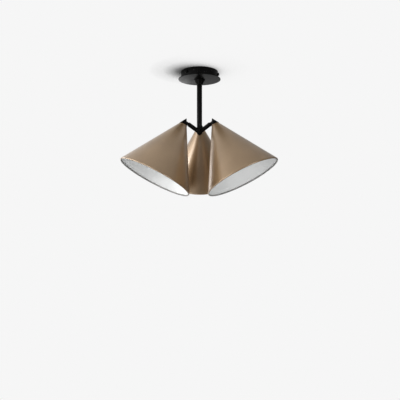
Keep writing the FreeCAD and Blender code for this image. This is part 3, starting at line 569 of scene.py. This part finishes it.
def eased(corners, closed=True):
    """The profile's points and tags, with each eased corner as an arc."""
    points = []
    for number, (spot, ease, tag) in enumerate(corners):
        if not ease:
            points.append((spot, tag))
            continue
        before = (corners[number - 1][0] - spot).normalized()
        after = (corners[(number + 1) % len(corners)][0] - spot).normalized()
        half = before.angle(after) / 2
        middle = spot + (before + after).normalized() * (ease / math.sin(half))
        reach = ease / math.tan(half)
        first = (spot + before * reach - middle).normalized()
        last = (spot + after * reach - middle).normalized()
        points += [(middle + ease * first.slerp(last, part / ARC_STEPS), tag)
                   for part in range(ARC_STEPS + 1)]
    return points + points[:1] if closed else points


square = [corner(x, z, 0.2) for x, z in ((1, 0), (2, 0), (2, 1), (1, 1))]
print("a square with eased corners has", len(eased(square)), "points")

# %% [markdown]
# The next helpers run a tree on an object, turn the result into a plain mesh with its faces pointing
# outwards, and hand the finished piece to its body. The piece keeps its place in its mesh, and it stands
# for the pieces of the construction that it covers.

# %% Run the trees and hand over the pieces
TAGS = ("fluted", "threaded", "lined", "edged")
PLAIN_TURNING = {"Segments": 160, "Flutes": 0, "Flute depth": 0.0, "Thread pitch": MM, "Thread depth": 0.0}
MADE = []


def run_tree(mesh, tree, values):
    """A plain mesh: the tree's result on the given mesh, with the values set on its named inputs."""
    blank = bpy.data.objects.new(mesh.name + "_blank", mesh)
    bpy.context.scene.collection.objects.link(blank)
    modifier = blank.modifiers.new(tree.name, "NODES")
    modifier.node_group = tree
    for entry in tree.interface.items_tree:
        if entry.in_out == "INPUT" and entry.name in values:
            modifier[entry.identifier] = values[entry.name]
    result = bpy.data.meshes.new_from_object(blank.evaluated_get(bpy.context.evaluated_depsgraph_get()))
    blank.modifiers.remove(modifier)
    bpy.data.objects.remove(blank)
    shape = bmesh.new()
    shape.from_mesh(result)
    bmesh.ops.recalc_face_normals(shape, faces=shape.faces)
    shape.to_mesh(result)
    shape.free()
    return result


def turned(name, profile, finish, **inputs):
    """A mesh turned on the lathe from a profile."""
    spots = [spot for spot, tag in profile]
    outline = bpy.data.meshes.new(name)
    chain = [(number, number + 1) for number in range(len(spots) - 1)]
    outline.from_pydata([(spot.x, 0, spot.y) for spot in spots], chain, [])
    for word in TAGS:
        marks = outline.attributes.new(word, "FLOAT", "POINT")
        marks.data.foreach_set("value", [float(tag == word) for spot, tag in profile])
    along = [0.0]
    for spot, after in zip(spots, spots[1:]):
        along.append(along[-1] + (after - spot).length)
    outline.attributes.new("along", "FLOAT", "POINT").data.foreach_set("value", along)
    values = {**PLAIN_TURNING, "Finish": finish, "Lining": finish, "Edge": finish}
    values.update({label.replace("_", " "): value for label, value in inputs.items()})
    return run_tree(outline, lathe, values)


def stand_in(mesh, place, body, slot, *nodes):
    """A finished piece on its body, in place of the named pieces of the construction."""
    own = mesh.copy()
    own.transform(place)
    own.name = nodes[0] + "_dressed"
    piece = bpy.data.objects.new(own.name, own)
    bpy.context.scene.collection.objects.link(piece)
    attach(piece, body)
    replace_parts(piece, *nodes)
    MADE.append(piece)


print("the shop is ready")

# %% [markdown]
# The rose is a pressed cup with a wider flat plate clamped under it. Both are simple turned shapes, so
# the eye goes to their edges: the cup's lower edge is rounded by the press, and the plate's rim is only
# broken.

# %% Turn the rose's cup and plate
CUP_WALL = 1.5 * MM
NIPPLE_HOLE = 5.2 * MM
PRESSED_OUTSIDE = 0.9 * MM
PRESSED_INSIDE = 0.6 * MM
PLATE_RIM = 0.6 * MM
ROSE_SEGMENTS = 256
cup_radius, cup_low, cup_high = turned_size("canopy_cup", HERE)
plate_radius, plate_low, plate_high = turned_size("canopy_plate", HERE)
cup_inside, cup_base = cup_radius - CUP_WALL, cup_low + CUP_WALL
cup = turned("cup", eased([
    corner(NIPPLE_HOLE, cup_low), corner(cup_radius, cup_low, PRESSED_OUTSIDE),
    corner(cup_radius, cup_high, BROKEN), corner(cup_inside, cup_high, BROKEN),
    corner(cup_inside, cup_base, PRESSED_INSIDE), corner(NIPPLE_HOLE, cup_base)]),
    black_coat, Segments=ROSE_SEGMENTS)
plate = turned("plate", eased([
    corner(NIPPLE_HOLE, plate_low), corner(plate_radius, plate_low, PLATE_RIM),
    corner(plate_radius, plate_high, PLATE_RIM), corner(NIPPLE_HOLE, plate_high)]),
    black_coat, Segments=ROSE_SEGMENTS)
stand_in(cup, HERE, FIXED_BODY, "black_paint", "canopy_cup")
stand_in(plate, HERE, FIXED_BODY, "black_paint", "canopy_plate")
print("rose in mm, the cup and the plate across:", in_mm(2 * cup_radius, 2 * plate_radius))

# %% [markdown]
# The rose's screws are alike and stand at equal steps round it. Each could be placed by hand. A second
# tree does it with the number of copies as its input: it makes that many points, turns a copy on each by
# its share of a full turn, and makes the copies real, because the export drops instances.

# %% Set copies round an axis as a tree


def make_ring():
    """The ring: one piece goes in, and its copies round the Z axis come out."""
    tree, given, out = new_tree("ring_of_copies", [("Copies", "Int"), ("Finish", "Material")])
    dots = step(tree, "GeometryNodePoints", Count=given["Copies"]).outputs["Points"]
    index = tree.nodes.new("GeometryNodeInputIndex").outputs["Index"]
    turn = calc(tree, "DIVIDE", calc(tree, "MULTIPLY", index, TURN), given["Copies"])
    euler = step(tree, "ShaderNodeCombineXYZ", Z=turn).outputs["Vector"]
    rotation = step(tree, "FunctionNodeEulerToRotation", Euler=euler).outputs["Rotation"]
    copies = step(tree, "GeometryNodeInstanceOnPoints", Points=dots, Instance=given["Geometry"],
                  Rotation=rotation).outputs["Instances"]
    shape = shaped(tree, "GeometryNodeRealizeInstances", copies)
    shape = shaped(tree, "GeometryNodeSetMaterial", shape, Material=given["Finish"])
    wire(tree, shape, out["Geometry"])
    return tree


ring_of_copies = make_ring()
print("ring tree has", len(ring_of_copies.nodes), "nodes")

# %% [markdown]
# Three small thumb screws through the cup's wall hold the rose on its bracket. Fingers turn them, so
# their heads are knurled. One screw is turned with flutes round its head, laid on its side, and the ring
# tree sets three of them round the rose.

# %% Turn the thumb screws and set them round the rose
FIRST_SCREW = math.radians(-10)
SCREWS = 3
SHANK_RADIUS = 2 * MM
HEAD_LENGTH = 4 * MM
HEAD_BACK_BEVEL = 0.5 * MM
HEAD_FACE_BEVEL = 0.6 * MM
KNURLS = 24
KNURL_DEPTH = 0.35 * MM
screw_low, screw_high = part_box("canopy_thumb_screws")
reaches = [vertex.co.xy.length for vertex in frame["nodes"]["canopy_thumb_screws"].data.vertices]
screw_tip, screw_end = min(reaches), max(reaches)
head_radius = (screw_high.z - screw_low.z) / 2
head_start = screw_end - HEAD_LENGTH
thumb_screw = turned("thumb_screw", eased([
    corner(0, screw_tip), corner(SHANK_RADIUS, screw_tip, BROKEN), corner(SHANK_RADIUS, head_start),
    corner(head_radius - HEAD_BACK_BEVEL, head_start),
    corner(head_radius, head_start + HEAD_BACK_BEVEL, 0, "fluted"),
    corner(head_radius, screw_end - HEAD_FACE_BEVEL, 0, "fluted"),
    corner(head_radius - HEAD_FACE_BEVEL, screw_end, CRISP), corner(0, screw_end)], closed=False),
    black_coat, Segments=144, Flutes=KNURLS, Flute_depth=KNURL_DEPTH)
thumb_screw.transform(Matrix.Rotation(FIRST_SCREW, 4, "Z")
                      @ Matrix.Translation((0, 0, (screw_low.z + screw_high.z) / 2)) @ LAY_ALONG_X)
thumb_screws = run_tree(thumb_screw, ring_of_copies, {"Copies": SCREWS, "Finish": black_coat})
stand_in(thumb_screws, HERE, FIXED_BODY, "black_paint", "canopy_thumb_screws")
print("thumb screws:", len(thumb_screws.polygons), "faces")

# %% [markdown]
# The stem is a plain tube. A cone-shaped collar covers the place where it leaves the plate. In the
# photograph its slanted side catches a thin highlight, so its edges are kept crisp but not sharp.

# %% Turn the stem and its collar
TUBE_WALL = 1.5 * MM
COLLAR_FOOT = 8.5 * MM
COLLAR_LIP = 1.4 * MM
COLLAR_PLAY = 0.05 * MM
stem_radius, stem_low, stem_high = turned_size("stem_tube", HERE)
collar_radius, collar_low, collar_high = turned_size("stem_collar", HERE)
stem_bore, collar_bore = stem_radius - TUBE_WALL, stem_radius + COLLAR_PLAY
stem = turned("stem", eased([
    corner(stem_bore, stem_low), corner(stem_radius, stem_low, CRISP),
    corner(stem_radius, stem_high, CRISP), corner(stem_bore, stem_high)]), black_coat)
collar = turned("collar", eased([
    corner(collar_bore, collar_low), corner(COLLAR_FOOT, collar_low, BROKEN),
    corner(collar_radius, collar_high - COLLAR_LIP, EASY), corner(collar_radius, collar_high, CRISP),
    corner(collar_bore, collar_high)]), black_coat)
stand_in(stem, HERE, FIXED_BODY, "black_paint", "stem_tube")
stand_in(collar, HERE, FIXED_BODY, "black_paint", "stem_collar")
print("stem in mm, across and long:", in_mm(2 * stem_radius, stem_high - stem_low))

# %% [markdown]
# Each arm is a sleeve that screws into the hub and takes the swivel's spindle in its outer end. The
# sleeve is turned along the arm's own axis, with a rounded end where the thinner spindle comes out.

# %% Turn the arms
SPINDLE_HOLE = 4.05 * MM
WIRE_BORE = 2.5 * MM
SPIGOT = 4 * MM
SPIGOT_LENGTH = 5 * MM
SOCKET = 17 * MM
ARM_END = 0.8 * MM
arm_radius, arm_low, arm_high = turned_size("left_arm", arm_places["left"] @ LAY_ALONG_X)
arm_start, socket_end = arm_low + SPIGOT_LENGTH, arm_high - SOCKET
arm = turned("arm", eased([
    corner(WIRE_BORE, arm_low), corner(SPIGOT, arm_low), corner(SPIGOT, arm_start),
    corner(arm_radius, arm_start, CRISP), corner(arm_radius, arm_high, ARM_END),
    corner(SPINDLE_HOLE, arm_high, CRISP), corner(SPINDLE_HOLE, socket_end),
    corner(WIRE_BORE, socket_end)]), black_coat, Segments=128)
for side, place in arm_places.items():
    stand_in(arm, place @ LAY_ALONG_X, FIXED_BODY, "black_paint", f"{side}_arm")
print("arms in mm, across and the two ends:", in_mm(2 * arm_radius, arm_low, arm_high))

# %% [markdown]
# The cone is spun from a disc of sheet metal, and its edge is rolled inwards into a bead that stiffens it
# and hides the cut. The profile is one closed section: down the bronze outside, round the bead, up the
# white inside. The inner half of the bead takes the matt grey edge finish, which is painted shade for the
# underside of the rim.

# %% Turn the cones
WALL = 1 * MM
BEAD = 2 * MM
PIVOT_DROP = 9.5 * MM
PAINT_EDGE = math.radians(108)
PAINT_LINE = math.radians(4)
BEAD_MEET = math.radians(300)
BRONZE_STEPS, EDGE_SHADE_STEPS = 12, 20
SPRAY_GAP = 0.001
STUD_HOLE = 4.2 * MM
bead_centre = (shade_radius - BEAD, shade_low + BEAD)
drop = PIVOT_DROP - bead_centre[1]
lean = math.atan2(bead_centre[0], drop) + math.asin(BEAD / math.hypot(bead_centre[0], drop))
slope = math.tan(lean)
crown_radius = (PIVOT_DROP - shade_crown) * slope
crown_under = shade_crown - WALL
crown_inside = Vector(((PIVOT_DROP - shade_crown + WALL) * slope - WALL / math.cos(lean), crown_under))
bead_end = lean - BEAD_MEET
bead_meet = Vector(bead_centre) + BEAD * Vector((math.cos(bead_end), math.sin(bead_end)))
spray_start = bead_meet.lerp(crown_inside, SPRAY_GAP)
cone = turned("cone", eased(
    [corner(STUD_HOLE, shade_crown), corner(crown_radius, shade_crown, CRISP)]
    + arc(bead_centre, BEAD, lean, lean - PAINT_EDGE, BRONZE_STEPS)
    # painted shade: the inner half of the bead gets the grey that stands for the shade under the rim
    + arc(bead_centre, BEAD, lean - PAINT_EDGE - PAINT_LINE, bead_end, EDGE_SHADE_STEPS, "edged")
    + [corner(*spray_start, 0, "lined"), corner(*crown_inside, 0, "lined"),
       corner(STUD_HOLE, crown_under)]),
    bronze_paint, Lining=white_paint, Edge=edge_shade_grey, Segments=320)
for side, place in lamp_places.items():
    stand_in(cone, place, f"{side}_lamp", "bronze_paint", f"{side}_shade")
print("cones:", len(cone.polygons), "faces each, half angle", round(math.degrees(lean), 2))

# %% [markdown]
# A pointed cap continues the cone to a tip. It carries the shade on a threaded stud below, and the
# spindle passes into its side. The cap stands a little proud of the cone, which gives the thin step
# between black and bronze.

# %% Turn the caps
STUD = 4 * MM
STUD_END = 0.4 * MM
TIP = 0.8 * MM
TIP_STEPS = 6
CAP_EDGE = 0.25 * MM
cap_radius, cap_low, cap_high = turned_size("left_cap", lamp_places["left"])
tip_middle = (0, cap_high - TIP)
cap = turned("cap", eased(
    arc(tip_middle, TIP, math.pi / 2, lean, TIP_STEPS)
    + [corner(cap_radius, shade_crown, CAP_EDGE), corner(STUD, shade_crown),
       corner(STUD, cap_low, STUD_END), corner(0, cap_low)], closed=False), black_coat, Segments=128)
for side, place in lamp_places.items():
    stand_in(cap, place, f"{side}_lamp", "black_paint", f"{side}_cap")
print("caps in mm, the radius and the tip's level:", in_mm(cap_radius, cap_high))

# %% [markdown]
# Inside each cone hangs a small screw lampholder of moulded plastic. Its skirt has grip ribs, cut by the
# lathe tree's flutes, above a plain rim.

# %% Turn the lampholders
NECK = 7 * MM
NECK_LENGTH = 11 * MM
SHOULDER = 4 * MM
SKIRT_EDGE = 1 * MM
RIBS = 40
RIB_DEPTH = 0.6 * MM
RIBS_LOW, RIBS_HIGH = 7 * MM, 24 * MM
RIBS_FADE_LOW, RIBS_FADE_HIGH = 6 * MM, 25 * MM
HOLDER_BORE = 8.1 * MM
SOCKET_DEPTH = 28 * MM
holder_radius, holder_low, holder_high = turned_size("left_lampholder", lamp_places["left"])
neck_end, socket_roof = holder_high - NECK_LENGTH, holder_low + SOCKET_DEPTH
lampholder = turned("lampholder", eased([
    corner(STUD, holder_high), corner(NECK, holder_high, EASY), corner(NECK, neck_end, EASY),
    corner(holder_radius, neck_end - SHOULDER, SKIRT_EDGE),
    corner(holder_radius, holder_low + RIBS_FADE_HIGH),
    corner(holder_radius, holder_low + RIBS_HIGH, 0, "fluted"),
    corner(holder_radius, holder_low + RIBS_LOW, 0, "fluted"),
    corner(holder_radius, holder_low + RIBS_FADE_LOW), corner(holder_radius, holder_low, SKIRT_EDGE),
    corner(HOLDER_BORE, holder_low, EASY), corner(HOLDER_BORE, socket_roof), corner(STUD, socket_roof)]),
    plastic, Segments=240, Flutes=RIBS, Flute_depth=RIB_DEPTH)
for side, place in lamp_places.items():
    stand_in(lampholder, place, f"{side}_lamp", "white_plastic", f"{side}_lampholder")
print("lampholders:", len(lampholder.polygons), "faces each")

# %% [markdown]
# The bulb is a small opal globe on a rolled screw cap. The cap's thread is coarse and round, as it is
# rolled into thin sheet, so the lathe tree makes it as a wave that climbs round the piece. The first and
# the last rows of the thread stay plain, so that it runs out gently.

# %% Turn the bulb caps
THREAD_RADIUS = 6.55 * MM
THREAD_PITCH = 2.82 * MM
THREAD_DEPTH = 0.4 * MM
THREAD_ROWS = 56
PLAIN_ROWS = 2
THREAD_FOOT = 1 * MM
THREAD_TOP = 5 * MM
FLANGE_HEIGHT = 3 * MM
FLANGE_EDGE = 0.4 * MM
CONTACT = 2.5 * MM
CONTACT_HEIGHT = 2 * MM
CONTACT_EDGE = 0.4 * MM
INSULATOR = 4 * MM
INSULATOR_DROP = 2.4 * MM
bulb_cap_radius, bulb_cap_low, bulb_cap_high = turned_size("left_bulb_cap", lamp_places["left"])
flange_top = bulb_cap_low + FLANGE_HEIGHT
thread_low, thread_high = flange_top + THREAD_FOOT, bulb_cap_high - THREAD_TOP
thread_rows = []
for number in range(THREAD_ROWS + 1):
    level = thread_high + (thread_low - thread_high) * number / THREAD_ROWS
    tag = "threaded" if PLAIN_ROWS <= number <= THREAD_ROWS - PLAIN_ROWS else ""
    thread_rows.append(corner(THREAD_RADIUS, level, 0, tag))
bulb_cap = turned("bulb_cap", eased(
    [corner(0, bulb_cap_high), corner(CONTACT, bulb_cap_high, CONTACT_EDGE),
     corner(CONTACT, bulb_cap_high - CONTACT_HEIGHT), corner(INSULATOR, bulb_cap_high - INSULATOR_DROP)]
    + thread_rows
    + [corner(THREAD_RADIUS, flange_top), corner(bulb_cap_radius, flange_top, FLANGE_EDGE),
       corner(bulb_cap_radius, bulb_cap_low, CRISP), corner(0, bulb_cap_low)], closed=False),
    dull_nickel, Segments=96, Thread_pitch=THREAD_PITCH, Thread_depth=THREAD_DEPTH)
print("bulb caps in mm, across and long:", in_mm(2 * bulb_cap_radius, bulb_cap_high - bulb_cap_low))

# %% [markdown]
# The globe is blown: a round ball that runs into a short neck. Its profile is an arc up to the shoulder,
# a straight line that leaves the arc without a corner, and the neck. A plain sphere would miss that
# shoulder.

# %% Turn the globes and screw in the bulbs
GLOBE_NECK = 8 * MM
GLOBE_SHOULDER = math.radians(58)
GLOBE_STEPS = 48
NECK_CURVE = 4 * MM
globe_radius, globe_low, globe_high = turned_size("left_bulb_globe", lamp_places["left"])
globe_centre = (0, globe_low + globe_radius)
neck_start = (globe_centre[1] + globe_radius / math.sin(GLOBE_SHOULDER)
              - GLOBE_NECK / math.tan(GLOBE_SHOULDER))
globe = turned("bulb_globe", eased(
    arc(globe_centre, globe_radius, -math.pi / 2, GLOBE_SHOULDER, GLOBE_STEPS)
    + [corner(GLOBE_NECK, neck_start, NECK_CURVE), corner(GLOBE_NECK, globe_high, BROKEN),
       corner(0, globe_high)], closed=False), opal_glass, Segments=128)
for side, place in lamp_places.items():
    stand_in(bulb_cap, place, f"{side}_lamp", "nickel", f"{side}_bulb_cap")
    stand_in(globe, place, f"{side}_lamp", "opal_glass", f"{side}_bulb_globe")
print("globes in mm, across:", in_mm(2 * globe_radius))

# %% [markdown]
# The rest of the construction already has its true shape: the hub, spindles, screws, washers, nuts,
# bracket and connector. These pieces keep their meshes and only get their finish.

# %% Finish the pieces that keep their shape
FINISHES = {"black_paint": black_coat, "zinc_steel": zinc_plate, "black_steel": black_steel,
            "brass": turned_brass, "white_plastic": plastic}
slots = {part["node"]: part["material_slot"] for part in frame["record"]["subparts"]}
covered = {node for piece in MADE for node in piece["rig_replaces"]}
for node, piece in frame["nodes"].items():
    if node not in covered:
        for place in piece.material_slots:
            place.material = FINISHES[slots[node]]
print(len(covered), "pieces dressed anew,", len(frame["nodes"]) - len(covered), "finished as they are")

# %% [markdown]
# The stage is a white room seen as a catalogue picture. The camera, reflections and glass see it as a
# pale background, while for all other light it is a plain matt surface. Reflections see it bright on one
# side of the room, as by a window, and darker on the other. This gives each cone a pale and a deep side.
# The sides belong to the room and not to the paint, so they stay in place when a cone turns.

# %% Tell who sees the room, and how bright
PALE = 0.922
BRIGHT_WAY = (-0.85, 0.33)


def room_view(tree, coordinates, mirrored, reach):
    """Whether a ray sees the room as a background, and at which share of its brightness.

    For reflections the share goes from the first of the mirrored pair on the room's dim side to the
    second on its bright side, within the reach either way."""
    ray = tree.nodes.new("ShaderNodeLightPath").outputs
    seen = calc(tree, "ADD", ray["Is Camera Ray"], ray["Is Glossy Ray"])
    seen = calc(tree, "MINIMUM", calc(tree, "ADD", seen, ray["Is Transmission Ray"]), 1)
    place = tree.nodes.new("ShaderNodeTexCoord").outputs[coordinates]
    place = step(tree, "ShaderNodeSeparateXYZ", Vector=place).outputs
    bright = calc(tree, "ADD", calc(tree, "MULTIPLY", place["X"], BRIGHT_WAY[0]),
                  calc(tree, "MULTIPLY", place["Y"], BRIGHT_WAY[1]))
    less = calc(tree, "SUBTRACT", spread(tree, bright, *mirrored, -reach, reach), 1)
    return seen, calc(tree, "ADD", calc(tree, "MULTIPLY", ray["Is Glossy Ray"], less), 1)


print("the room is bright towards", BRIGHT_WAY)

# %% [markdown]
# The ceiling shows only the soft shade round the rose. The shades are ambient occlusion, which darkens a
# point by what stands near it. One of them looks straight down. The other two look to the right, so they
# only find the rose from its left side and leave a streak there, as a low light from the right would. The
# surface is kept out of the choice of lamps, so that the real lamps get all the samples.

# %% A pale finish with soft shades
STAGE_WHITE = (0.8, 0.8, 0.8, 1)
STAGE_REACH = 0.5
SHADE_SAMPLES = 4


def either(tree, factor, first, second):
    """One of two shaders: the first where the factor is 0, and the second where it is 1."""
    look = step(tree, "ShaderNodeMixShader", Fac=factor)
    wire(tree, first, look.inputs[1])
    wire(tree, second, look.inputs[2])
    return look.outputs["Shader"]


def pale_stage(name, shades, mirrored, one_sided):
    """A pale surface with soft shades, each with its reach, its depth and the way in which it looks.

    Reflections see the mirrored pair of shares. A one-sided surface can't be seen from behind."""
    finish, tree, shader = new_finish(name)
    set_all_over(shader, Base_Color=STAGE_WHITE, Roughness=1.0, Specular_IOR_Level=0.0)
    finish.cycles.emission_sampling = "NONE"
    level = PALE
    for reach, depth, way in shades:
        toward = step(tree, "ShaderNodeCombineXYZ", X=way[0], Y=way[1], Z=way[2]).outputs["Vector"]
        open_share = step(tree, "ShaderNodeAmbientOcclusion", {"samples": SHADE_SAMPLES}, Distance=reach,
                          Normal=toward).outputs["AO"]
        shade = calc(tree, "ADD", calc(tree, "MULTIPLY", open_share, depth), 1 - depth)
        level = calc(tree, "MULTIPLY", shade, level)
    seen, share = room_view(tree, "Object", mirrored, STAGE_REACH)
    glow = step(tree, "ShaderNodeEmission", Strength=calc(tree, "MULTIPLY", level, share))
    result = either(tree, seen, shader.outputs["BSDF"], glow.outputs["Emission"])
    if one_sided:
        back = tree.nodes.new("ShaderNodeNewGeometry").outputs["Backfacing"]
        result = either(tree, back, result, tree.nodes.new("ShaderNodeBsdfTransparent").outputs["BSDF"])
    wire(tree, result, tree.nodes["Material Output"].inputs["Surface"])
    return finish


DOWN, UPWARD, RIGHTWARD = (0, 0, -1), (0, 0, 1), (0.9, -0.1, -0.42)
ceiling_white = pale_stage(
    "ceiling_white", [(0.17, 0.5, DOWN), (0.09, 1.0, RIGHTWARD), (0.05, 1.0, RIGHTWARD)],
    mirrored=(0.19, 1.0), one_sided=True)
floor_white = pale_stage("floor_white", [(0.5, 0.4, UPWARD)], mirrored=(0.05, 0.8), one_sided=False)
print("made", ceiling_white.name, "and", floor_white.name)

# %% [markdown]
# The ceiling is a flat ring just above the rose, and the floor is a plain pale one far below. The ceiling
# is open from above and has a hole over the rose, as a real one has for its wires, so a view from there
# sees into the rose and light falls in.

# %% Build the ceiling and the floor
CEILING_GAP = 0.3 * MM
CEILING_RADIUS = 3.0
CEILING_HOLE = 0.9 * cup_radius
FLOOR_LEVEL = -1.5
FLOOR_RADIUS = 6.0
FLOOR_HOLE = 1 * MM
STAGE_SEGMENTS = 96


def stage_ring(name, level, hole, radius, finish, face_down):
    """A flat round stage piece with a hole in its middle."""
    shape = bmesh.new()
    for rim in (hole, radius):
        bmesh.ops.create_circle(shape, segments=STAGE_SEGMENTS, radius=rim,
                                matrix=Matrix.Translation((0, 0, level)))
    bmesh.ops.bridge_loops(shape, edges=shape.edges[:])
    shape.normal_update()
    if face_down != (shape.faces[:][0].normal.z < 0):
        bmesh.ops.reverse_faces(shape, faces=shape.faces[:])
    mesh = bpy.data.meshes.new(name)
    shape.to_mesh(mesh)
    shape.free()
    mesh.materials.append(finish)
    disc = bpy.data.objects.new(name, mesh)
    bpy.context.scene.collection.objects.link(disc)
    return disc


ceiling = stage_ring("ceiling", CEILING_GAP, CEILING_HOLE, CEILING_RADIUS, ceiling_white, face_down=True)
ceiling.visible_shadow = False
floor = stage_ring("floor", FLOOR_LEVEL, FLOOR_HOLE, FLOOR_RADIUS, floor_white, face_down=False)
print("ceiling at", ceiling.data.vertices[0].co.z, "floor at", floor.data.vertices[0].co.z)

# %% [markdown]
# The world adds an even room light. The camera sees it as a pale background, and reflections see it
# darker, as the room round a lit set is, and darkest away from the bright side. A picture of a room could
# light the scene too, but two numbers and a direction are easier to read and to change.

# %% Give the room its even light
ROOM_LIGHT = 0.32
ROOM_MIRRORED = (0.02, 0.64)
ROOM_REACH = 1
world = bpy.context.scene.world or bpy.data.worlds.new("room")
bpy.context.scene.world = world
world.use_nodes = True
room = world.node_tree
room.nodes.clear()
seen, share = room_view(room, "Generated", ROOM_MIRRORED, ROOM_REACH)
strength = calc(room, "ADD", calc(room, "MULTIPLY", seen, PALE - ROOM_LIGHT), ROOM_LIGHT)
strength = calc(room, "MULTIPLY", strength, share)
sky = step(room, "ShaderNodeBackground", Color=(1, 1, 1, 1), Strength=strength)
wire(room, sky.outputs["Background"], room.nodes.new("ShaderNodeOutputWorld").inputs["Surface"])
print("room light", ROOM_LIGHT)

# %% [markdown]
# Six soft boxes light the cones. The two at the left give the back cone its broad pale highlight, the
# wide one behind draws the bright line down the edge of the right cone, and the three in front fill the
# white insides. All of them aim at the middle of the light. They are area lamps, because a small lamp
# would leave hard spots on the clear coat.

# %% Set the soft boxes
# Each has its name, its place and its width and height in metres, and its power in watts.
SOFT_BOXES = (
    ("left_box", (-1.41, -0.51, -0.05), (0.8, 0.35), 8.5),
    ("left_side_box", (-1.45, 0.39, -0.15), (0.6, 0.35), 6),
    ("left_back_box", (-0.59, 1.38, -0.25), (0.9, 0.4), 2.9),
    ("left_front_box", (-0.75, -1.30, -0.05), (0.45, 0.35), 3.3),
    ("low_front_box", (-0.82, -1.26, -1.10), (0.5, 0.5), 4),
    ("right_front_box", (0.95, -1.16, -0.30), (0.5, 0.5), 5.7))
middle = (cad_low + cad_high) / 2
for name, spot, (width, height), power in SOFT_BOXES:
    lamp = bpy.data.lights.new(name, "AREA")
    lamp.shape = "RECTANGLE"
    lamp.size, lamp.size_y, lamp.energy = width, height, power
    box = bpy.data.objects.new(name, lamp)
    box.location = spot
    box.rotation_euler = (middle - Vector(spot)).to_track_quat("-Z", "Y").to_euler()
    box.visible_camera = False
    bpy.context.scene.collection.objects.link(box)
print(len(SOFT_BOXES), "soft boxes with", round(sum(power for *_, power in SOFT_BOXES), 1), "watts")

# %% [markdown]
# The photograph was taken from just below the hub, a metre away, with a slightly wide lens. The camera's
# place and lens were found by fitting the edges of the rose, the stem and the cones, so nothing is
# cropped or shifted.

# %% Set the camera
IMAGE_WIDTH = 400
FOCAL_PIXELS = 344.38
SENSOR = 36.0
VIEW_TURN = math.radians(1.732)
VIEW_TILT = math.radians(-4.024)
VIEW_PLACE = Vector((1.48 * MM, -1003.88 * MM, -294.58 * MM))
lens = bpy.data.cameras.new("camera")
lens.sensor_width = SENSOR
lens.lens = SENSOR * FOCAL_PIXELS / IMAGE_WIDTH
camera = bpy.data.objects.new("camera", lens)
camera.location = Matrix.Rotation(VIEW_TURN, 4, "Z") @ VIEW_PLACE
camera.rotation_euler = (math.pi / 2 + VIEW_TILT, 0, VIEW_TURN)
bpy.context.scene.collection.objects.link(camera)
bpy.context.scene.camera = camera
bpy.context.scene.view_settings.view_transform = "Standard"
print("camera at", in_mm(*camera.location), "lens", round(lens.lens, 2))
